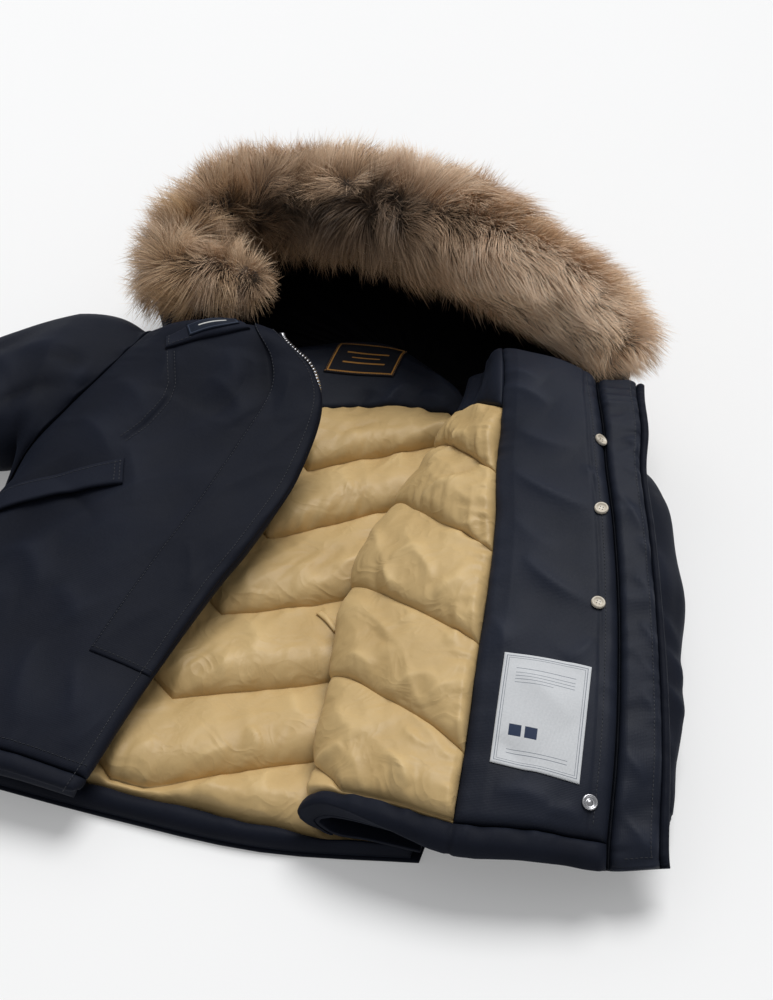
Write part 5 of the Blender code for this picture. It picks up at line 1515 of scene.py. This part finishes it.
def baked(source, tree, values, name):
    # the tree's result as a plain mesh object of its own, with the modifier gone
    modifier = source.modifiers.new("nodes", "NODES")
    modifier.node_group = tree
    names = {item.name: item.identifier for item in tree.interface.items_tree if item.in_out == "INPUT"}
    for key, value in values.items():
        modifier[names[key]] = value
    source.update_tag()
    graph = bpy.context.evaluated_depsgraph_get()
    graph.update()
    mesh = bpy.data.meshes.new_from_object(source.evaluated_get(graph))
    source.modifiers.remove(modifier)
    bpy.data.objects.remove(source, do_unlink=True)
    mesh.name = name
    return linked(name, mesh)


def makeFur():
    core, reach, tone, gold, thin = ruffSurface()
    base = ringMesh("ruffCore", core[::4, ::2], True)
    asPadded(dress(base, ["fur_ruff"], coreFinish()))
    tree, shape, finish = furTree(), strandShape(), furFinish()
    step = furLook["rings"] // furLook["sections"]
    for number in range(furLook["sections"]):
        part = slice(number * step, min((number + 1) * step + 1, furLook["rings"]))
        source = ringMesh("furSource", core[part], False)
        for name, field in (("tone", tone), ("gold", gold), ("thin", thin)):
            mark(source.data, name, field[part])
        mark(source.data, "reach", reach[part], "FLOAT_VECTOR", "vector")
        strands = baked(source, tree, {
            "Strand": shape, "Density": furLook["density"], "Width": furLook["width"],
            "Uneven": furLook["uneven"], "Seed": furLook["seed"] + number, "Finish": finish,
        }, f"furStrands{number + 1}")
        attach(strands, "root")
        print("  fur", number + 1, len(strands.data.polygons), "faces")
    bpy.data.objects.remove(shape, do_unlink=True)


makeFur()
print("fur made")

# Labels, loop, buttons and snap.

def frameMask(x, y, inset, thick, aspect):
    # 1 on a thin frame set in from the edges of a label whose own map runs from 0 to 1
    nearX = x.calc("MINIMUM", x, 1 - x) * aspect
    nearY = y.calc("MINIMUM", y, 1 - y)
    near = nearX.calc("MINIMUM", nearX, nearY)
    return near.over(inset) * (1 - near.over(inset + thick))


def barMask(x, y, left, right, low, high):
    return x.over(left) * (1 - x.over(right)) * y.over(low) * (1 - y.over(high))


def labelFinish(name, look):
    # a woven label: plain ground, a thin frame and a few plain bars
    material, shader, wire = startFinish(name, {"Roughness": look["roughness"], "Specular IOR Level": 0.12})
    x, y = wire.clothMap()
    pattern = 0.0
    for inset, thick in look["frames"]:
        pattern = frameMask(x, y, inset, thick, look["aspect"]) + pattern
    for bar in look["bars"]:
        pattern = barMask(x, y, *bar) + pattern
    dark = 0.0
    for bar in look["blocks"]:
        dark = barMask(x, y, *bar) + dark
    fine = wire.noise(700.0, 2.0)
    ground = fine.blend(look["groundDark"], look["groundPale"])
    colour = pattern.blend(ground, look["mark"])
    if look["blocks"]:
        colour = dark.blend(colour, look["block"])
    threads = (y * look["threads"]).wave() * 0.5 + fine
    bump = wire.bump(0.3, 0.0003, threads)
    join(wire, shader, Base_Color=colour, Normal=bump)
    return material


# Bars and blocks are given by their left, right, low and high shares of the label.
neckLabelLook = {
    "roughness": 0.6, "aspect": 1.35,
    "groundDark": (0.010, 0.011, 0.016, 1), "groundPale": (0.020, 0.021, 0.028, 1),
    "mark": (0.52, 0.25, 0.06, 1), "threads": 420.0, "frames": [(0.045, 0.028)],
    "bars": [(0.2, 0.8, 0.62, 0.66), (0.3, 0.7, 0.47, 0.50), (0.2, 0.8, 0.31, 0.35)], "blocks": [],
}
insideLabelLook = {
    "roughness": 0.5, "aspect": 0.75,
    "groundDark": (0.60, 0.62, 0.64, 1), "groundPale": (0.74, 0.75, 0.77, 1),
    "mark": (0.20, 0.22, 0.26, 1), "block": (0.03, 0.045, 0.09, 1), "threads": 700.0,
    "frames": [(0.025, 0.006), (0.045, 0.004)],
    "bars": [(0.16, 0.84, 0.850, 0.856), (0.16, 0.84, 0.806, 0.811), (0.16, 0.84, 0.776, 0.781),
             (0.16, 0.84, 0.746, 0.751), (0.16, 0.60, 0.716, 0.721), (0.16, 0.84, 0.140, 0.145),
             (0.16, 0.84, 0.110, 0.115)],
    "blocks": [(0.16, 0.30, 0.25, 0.345), (0.34, 0.48, 0.25, 0.345)],
}
collarPatchLook = {
    "roughness": 0.55, "aspect": 3.4,
    "groundDark": (0.006, 0.010, 0.020, 1), "groundPale": (0.014, 0.020, 0.036, 1),
    "mark": (0.05, 0.065, 0.10, 1), "block": (0.62, 0.62, 0.60, 1), "threads": 260.0,
    "frames": [(0.08, 0.05)], "bars": [], "blocks": [(0.22, 0.78, 0.46, 0.56)],
}


def makeLabels():
    facing, lining = bpy.data.objects["backNeckFacing"], bpy.data.objects["backLining"]
    piece = laidOn("neckLabel", facing, neckLabel, gap=0.0008, thickness=0.0010, columns=40, rows=30)
    sew(piece, "neck_label", labelFinish("goldOnDarkLabel", neckLabelLook))
    piece = laidOn("insideLabel", openFacing, insideLabel, gap=0.0005, thickness=0.0010, columns=44, rows=60)
    sew(piece, "inside_label", labelFinish("whiteSatinLabel", insideLabelLook))
    piece = laidOn("collarPatch", collarTab, tabPatch, gap=0.0006, thickness=0.0010, columns=36, rows=12)
    patchCloth = labelFinish("collarPatchCloth", collarPatchLook)
    sew(piece, "hood_tab_patch", patchCloth)
    piece = laidOn("liningLoop", lining, liningTab, gap=0.0008, thickness=0.0018, columns=20, rows=8)
    sew(piece, "lining_tab", khaki)


makeLabels()


def turned(name, profile, sides, centre, axis, uvScale):
    # a solid turned round an axis from a profile of (radius, height), closed at both poles
    axis = np.array(axis) / np.linalg.norm(axis)
    first = np.cross(axis, (0, 1.0, 0))
    first /= np.linalg.norm(first)
    second = np.cross(axis, first)
    angle = np.arange(sides) * 2 * math.pi / sides
    round3d = first[None] * np.cos(angle)[:, None] + second[None] * np.sin(angle)[:, None]
    radius = np.array([p[0] for p in profile[1:-1]])
    height = np.array([p[1] for p in profile[1:-1]])
    rings = np.array(centre) + round3d[None] * radius[:, None, None] + axis * height[:, None, None]
    low = np.array(centre) + axis * profile[0][1]
    high = np.array(centre) + axis * profile[-1][1]
    points = np.concatenate([rings.reshape(-1, 3), low[None], high[None]])
    number = ringNumbers(len(rings), sides)
    faces = quads(number) + caps(number, len(points) - 2, len(points) - 1)
    flat = np.stack([np.cos(angle), np.sin(angle)], axis=-1)[None] * radius[:, None, None] / uvScale
    uv = np.concatenate([flat.reshape(-1, 2), [[0, 0], [0, 0]]])
    return makeMesh(name, points, faces, uv)


def seatOn(piece, place):
    # the point and the way up of a piece's outer face, seen from above
    tree = surfaceOf(piece)
    spots = []
    for dx, dy in ((0, 0), (0.4, 0), (-0.4, 0), (0, 0.4), (0, -0.4)):
        hit = tree.ray_cast(((place[0] + dx) * cm, (place[1] + dy) * cm, 0.5), (0, 0, -1))[0]
        spots.append(np.array(hit) if hit is not None else spots[0])
    axis = np.cross(spots[1] - spots[2], spots[3] - spots[4])
    return np.mean(spots, axis=0), axis / np.linalg.norm(axis)


def boneFinish():
    # pale button, mottled like horn, with four holes that are not cut but painted dark: painted shade in the
    # holes, with the dark cloth that shows through them
    material, shader, wire = startFinish("boneButton", {"Roughness": 0.35, "Coat Roughness": 0.2})
    x, y = wire.clothMap()
    awayX = x.calc("ABSOLUTE", x) - 0.2
    awayY = y.calc("ABSOLUTE", y) - 0.2
    # the holes are painted near black: painted shade, with the dark cloth below
    hole = 1 - (awayX * awayX + awayY * awayY).over(0.0085)
    mottle = wire.noise(300.0, 4.0, Distortion=1.2)
    ground = mottle.blend((0.40, 0.33, 0.24, 1), (0.86, 0.80, 0.69, 1))
    colour = hole.blend(ground, (0.02, 0.018, 0.015, 1))
    bump = wire.bump(0.5, 0.0008, 1 - hole)
    join(wire, shader, Base_Color=colour, Normal=bump, Roughness=mottle * 0.25 + 0.25)
    return material


def metalFinish(name, look):
    material, shader, wire = startFinish(name, {"Metallic": 1.0})
    worn = wire.noise(look["scale"], 5.0)
    bump = wire.bump(0.2, 0.0002, worn)
    join(wire, shader, Base_Color=worn.blend(look["dark"], look["pale"]),
         Roughness=worn * 0.25 + look["roughness"], Normal=bump)
    return material


def threadFinish(name, dark, pale):
    material, shader, wire = startFinish(name, {"Roughness": 0.6, "Sheen Weight": 0.2})
    ply = wire.noise(1500.0, 2.0)
    bump = wire.bump(0.5, 0.0002, ply)
    join(wire, shader, Base_Color=ply.blend(dark, pale), Normal=bump)
    return material


steelLook = {"scale": 800.0, "dark": (0.36, 0.36, 0.38, 1), "pale": (0.68, 0.68, 0.70, 1), "roughness": 0.18}
steel = metalFinish("brushedSteel", steelLook)
darkThread = threadFinish("navyThread", (0.004, 0.005, 0.009, 1), (0.014, 0.018, 0.029, 1))


# A turned shape goes through shares of its radius and height.
buttonLook = {
    "radius": 0.0057, "height": 0.0030, "sides": 36,
    "profile": ((0, 0), (0.86, 0), (1.0, 0.3), (1.0, 0.6), (0.93, 0.92), (0.84, 1.0), (0.72, 0.94),
                (0.62, 0.72), (0.5, 0.6), (0.25, 0.56), (0, 0.55)),
}
snapLook = {
    "radius": 0.0063, "height": 0.0025, "sides": 40,
    "profile": ((0, 0), (0.9, 0), (1.0, 0.35), (0.97, 0.75), (0.86, 1.0), (0.72, 0.85), (0.64, 0.35),
                (0.5, 0.25), (0.38, 0.3), (0.3, 0.55), (0.18, 0.68), (0, 0.7)),
}
sunk = 0.0002


def fastened(name, node, finish, place, look):
    # a turned piece seated on the facing
    radius, height = look["radius"], look["height"]
    profile = [(across * radius, up * height) for across, up in look["profile"]]
    seat, axis = seatOn(openFacing, place)
    piece = turned(name, profile, look["sides"], seat - axis * sunk, axis, radius)
    dress(piece, [node], finish)


def makeFasteners():
    bone = boneFinish()
    for number, place in enumerate(buttons, 1):
        fastened(f"button{number}", f"button_{number}", bone, place, buttonLook)
    fastened("snapStud", "snap", steel, snap, snapLook)


makeFasteners()
print("labels and fasteners made")

# Stitching and zip teeth, by Geometry Nodes along lines.

def lineOn(support, places, lift=0.0003, step=0.12):
    # points on top of a piece, every step of a plan line (cm)
    dense = []
    for (x0, y0), (x1, y1) in zip(places, places[1:]):
        count = max(2, int(math.hypot(x1 - x0, y1 - y0) / step))
        dense += [(x0 + (x1 - x0) * k / count, y0 + (y1 - y0) * k / count) for k in range(count)]
    dense.append(places[-1])
    dense = np.array(dense)
    z = heightsOn(surfaceOf(support), dense[:, 0], dense[:, 1]) + lift
    return np.column_stack([dense * cm, z])


def lineAt(panel, u, v, offset):
    u, v = np.broadcast_arrays(np.asarray(u, float), np.asarray(v, float))
    return panel.at(u, v) + panel.normal(u, v) * np.broadcast_to(offset, u.shape)[..., None]


def alongTree():
    tree, wire, given = startTree("piecesAlongLines", {
        "Geometry": "Geometry", "Piece": "Object", "Pitch": "Float", "Size": "Vector", "Finish": "Material",
    })
    curve = wire.make("GeometryNodeMeshToCurve", None, {0: given["Geometry"]})
    points = wire.make("GeometryNodeCurveToPoints", {"mode": "LENGTH"},
                       {"Curve": curve, "Length": given["Pitch"]})
    tangent = points.other("Tangent")
    turn = wire.make("FunctionNodeAxesToRotation", {"primary_axis": "X", "secondary_axis": "Z"},
                     {0: tangent, 1: (0.0, 0.0, 1.0)})
    piece = wire.make("GeometryNodeObjectInfo", {"transform_space": "ORIGINAL"}, {0: given["Piece"]})
    piece = piece.other("Geometry")
    placed = wire.make("GeometryNodeInstanceOnPoints", None,
                       {"Points": points, "Instance": piece, "Rotation": turn, "Scale": given["Size"]})
    return endTree(tree, wire, placed, given["Finish"])


def stitchShape():
    # a short six-sided thread, 1 long and 1 across, pinched in at both ends
    points = [(-0.5, 0, -0.2)]
    for x, r in ((-0.36, 0.4), (0.36, 0.4)):
        points += [(x, r * math.cos(k * math.pi / 3), r * math.sin(k * math.pi / 3)) for k in range(6)]
    points.append((0.5, 0, -0.2))
    faces = [(0, 1 + (k + 1) % 6, 1 + k) for k in range(6)]
    faces += [(1 + k, 1 + (k + 1) % 6, 7 + (k + 1) % 6, 7 + k) for k in range(6)]
    faces += [(13, 7 + k, 7 + (k + 1) % 6) for k in range(6)]
    return plainShape("stitchShape", points, faces)


def toothShape():
    # a zip tooth: a small block with a narrower nose
    levels = ((-0.5, 0.5), (0.15, 0.5), (0.5, 0.28))
    corners = ((-1, -0.5), (1, -0.5), (1, 0.5), (-1, 0.5))
    points = [(side * half, y, z) for y, half in levels for side, z in corners]
    faces = [(3, 2, 1, 0), (8, 9, 10, 11)]
    for k in (0, 4):
        faces += [(k + a, k + b, k + 4 + b, k + 4 + a) for a, b in ((0, 1), (1, 2), (2, 3), (3, 0))]
    return plainShape("toothShape", points, faces)


def repeated(name, lines, tree, shape, pitch, size, finish):
    points, edges = [], []
    for line in lines:
        edges += [(len(points) + k, len(points) + k + 1) for k in range(len(line) - 1)]
        points += line.tolist()
    piece = baked(plainShape("lineSource", points, [], edges), tree,
                  {"Piece": shape, "Pitch": pitch, "Size": size, "Finish": finish}, name)
    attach(piece, "root")
    print(" ", name, len(piece.data.polygons), "faces")
    return piece


def offsetLine(line, aside):
    line = np.array(line, float)
    heading = np.gradient(line, axis=0)
    heading /= np.linalg.norm(heading, axis=1, keepdims=True)
    return line + np.stack([-heading[:, 1], heading[:, 0]], axis=1) * aside


stitchLook = {
    "pitch": 0.0034, "size": (0.0026, 0.0006, 0.0006),
    "labelPitch": 0.0022, "labelSize": (0.0018, 0.0005, 0.0005),
    "toothPitch": 0.0030, "toothSize": (0.0017, 0.0034, 0.0024),
    "flyAt": 0.7955, "zipAt": 0.965, "aboveBand": 0.012,
    "lift": 0.0003, "onFly": 0.0021, "overFly": 0.0022, "onFlap": 0.0002, "onLabel": 0.0001,
}


def between(corners, places):
    # plan places between four corners, each given by its share along and across
    a, b, c, d = np.array(corners)
    return [a * (1 - s) * (1 - t) + b * s * (1 - t) + c * s * t + d * (1 - s) * t for s, t in places]


def onClosed(u, v, lift):
    u, v = np.broadcast_arrays(np.asarray(u, float), np.asarray(v, float))
    return lineAt(left, u, v, closedTop(u, v) + lift)


def onOpen(u, v, support):
    base = lineAt(right, u, v, 0.0)
    height = heightsOn(surfaceOf(support), base[:, 0] / cm, base[:, 1] / cm) + stitchLook["lift"]
    return np.column_stack([base[:, :2], height])


def makeStitching():
    tree, shape = alongTree(), stitchShape()
    look = stitchLook
    rows = np.linspace(0.03, 0.96, 260)
    flyLow = rowForY(left, 0.9, flyEnd * cm)
    onBand = left.rows["band"] + look["aboveBand"]
    zipLine = right.lines["zip"]
    navyLines = [
        lineOn(closedFront, offsetLine(dartLine, 0.18)), lineOn(closedFront, offsetLine(dartLine, -0.42)),
        onClosed(look["flyAt"], np.linspace(flyLow + 0.006, 0.965, 220), look["onFly"]),
        onClosed(np.linspace(look["flyAt"], 0.985, 50), flyLow + 0.004, look["onFly"]),
        onClosed(look["zipAt"], rows, np.where(rows > flyLow - 0.004, look["overFly"], look["lift"])),
        onClosed(np.linspace(0.08, 0.98, 160), onBand, look["lift"]),
    ]
    for places in (((0.03, 0.84), (0.97, 0.84)), ((0.93, 0.16), (0.93, 0.84)), ((0.97, 0.16), (0.97, 0.84))):
        navyLines.append(lineOn(pocketFlapPiece, between(pocketFlap, places), look["onFlap"]))
    navyLines += [
        lineOn(collarTab, between(hoodTab, ((0.05, 0.85), (0.04, 0.15), (0.3, 0.15))), look["onFlap"]),
        onOpen(0.971, np.linspace(0.02, 0.97, 280), openFly),
        onOpen(zipLine - 0.0325, np.linspace(right.rows["band"] + 0.02, 0.97, 280), openFacing),
        onOpen(np.linspace(zipLine + 0.033, 0.97, 40), 0.012, openFly),
    ]
    repeated("navyStitches", navyLines, tree, shape, look["pitch"], look["size"], darkThread)

    border = between(neckLabel, ((0.02, 0.03), (0.98, 0.03), (0.98, 0.97), (0.02, 0.97), (0.02, 0.03)))
    around = lineOn(bpy.data.objects["neckLabel"], border, look["onLabel"])
    goldThread = threadFinish("goldThread", (0.25, 0.11, 0.03, 1), (0.62, 0.32, 0.10, 1))
    repeated("labelStitches", [around], tree, shape, look["labelPitch"], look["labelSize"], goldThread)

    teeth = toothShape()
    rows = np.linspace(0.76, 0.984, 160)
    shown, out, below = closedZip(rows)
    zipEdge = lineAt(left, 0.987 + 0.051 * shown + 0.034 * out, rows, below - 0.001)
    repeated("zipTeeth", [zipEdge], tree, teeth, look["toothPitch"], look["toothSize"], steel)
    for thing in (shape, teeth):
        bpy.data.objects.remove(thing, do_unlink=True)


makeStitching()
print("stitching made")

# Floor, light and camera.

studio = {
    "floorSize": 4.0, "floorDrop": 0.0005,
    "floorDark": (0.74, 0.74, 0.74, 1), "floorPale": (0.76, 0.76, 0.76, 1),
    "glow": 0.23, "sky": (0.97, 0.985, 1.0, 1), "skyStrength": 0.31,
    "lamps": {
        "softSky": {"kind": "SUN", "place": (0.05, 1.25, 2.1), "aim": (0, 0, 0), "energy": 2.1,
                    "colour": (1, 1, 1), "degrees": 32},
        "windowLight": {"kind": "AREA", "place": (-1.3, 1.7, 1.9), "aim": (0.05, 0, 0.05), "energy": 7.5,
                        "colour": (0.97, 0.98, 1.0), "size": 1.6},
    },
    "tilt": 47, "swing": 22, "distance": 2.0, "lookAt": (0.09, 0, 0.05), "lens": 86.4,
}


def makeFloor():
    size, low = studio["floorSize"], -studio["floorDrop"]
    corners = [(-size, -size, low), (size, -size, low), (size, size, low), (-size, size, low)]
    mesh = bpy.data.meshes.new("studioFloor")
    mesh.from_pydata(corners, [], [(0, 1, 2, 3)])
    floor = linked("studioFloor", mesh)
    material, shader, wire = startFinish("paleFloor", {
        "Roughness": 0.9, "Specular IOR Level": 0.1,
        "Emission Color": (1, 1, 1, 1), "Emission Strength": studio["glow"],
    })
    soft = wire.noise(2.0, 2.0)
    join(wire, shader, Base_Color=soft.blend(studio["floorDark"], studio["floorPale"]))
    mesh.materials.append(material)


def makeLamp(name, look):
    light = bpy.data.lights.new(name, look["kind"])
    light.energy = look["energy"]
    light.color = look["colour"]
    if look["kind"] == "SUN":
        light.angle = math.radians(look["degrees"])
    else:
        light.shape = "DISK"
        light.size = look["size"]
    lamp = linked(name, light)
    lamp.location = look["place"]
    lamp.rotation_euler = (Vector(look["aim"]) - Vector(look["place"])).to_track_quat("-Z", "Y").to_euler()


def makeCamera():
    tilt, swing = math.radians(studio["tilt"]), math.radians(studio["swing"])
    away = Vector((-math.sin(swing), math.cos(swing), 0))
    look = away * math.cos(tilt) - Vector((0, 0, 1)) * math.sin(tilt)
    camera = bpy.data.cameras.new("camera")
    camera.sensor_width = 36
    camera.lens = studio["lens"]
    camera.clip_start = 0.05
    viewer = linked("camera", camera)
    viewer.location = Vector(studio["lookAt"]) - look * studio["distance"]
    viewer.rotation_euler = look.to_track_quat("-Z", "Y").to_euler()
    bpy.context.scene.camera = viewer


def makeStage():
    makeFloor()
    world = bpy.data.worlds.new("studio")
    bpy.context.scene.world = world
    world.use_nodes = True
    background = world.node_tree.nodes["Background"].inputs
    background["Color"].default_value = studio["sky"]
    background["Strength"].default_value = studio["skyStrength"]
    for name, look in studio["lamps"].items():
        makeLamp(name, look)
    makeCamera()
    bpy.context.scene.view_settings.view_transform = "Standard"


makeStage()
bpy.context.view_layer.update()
print("stage set")
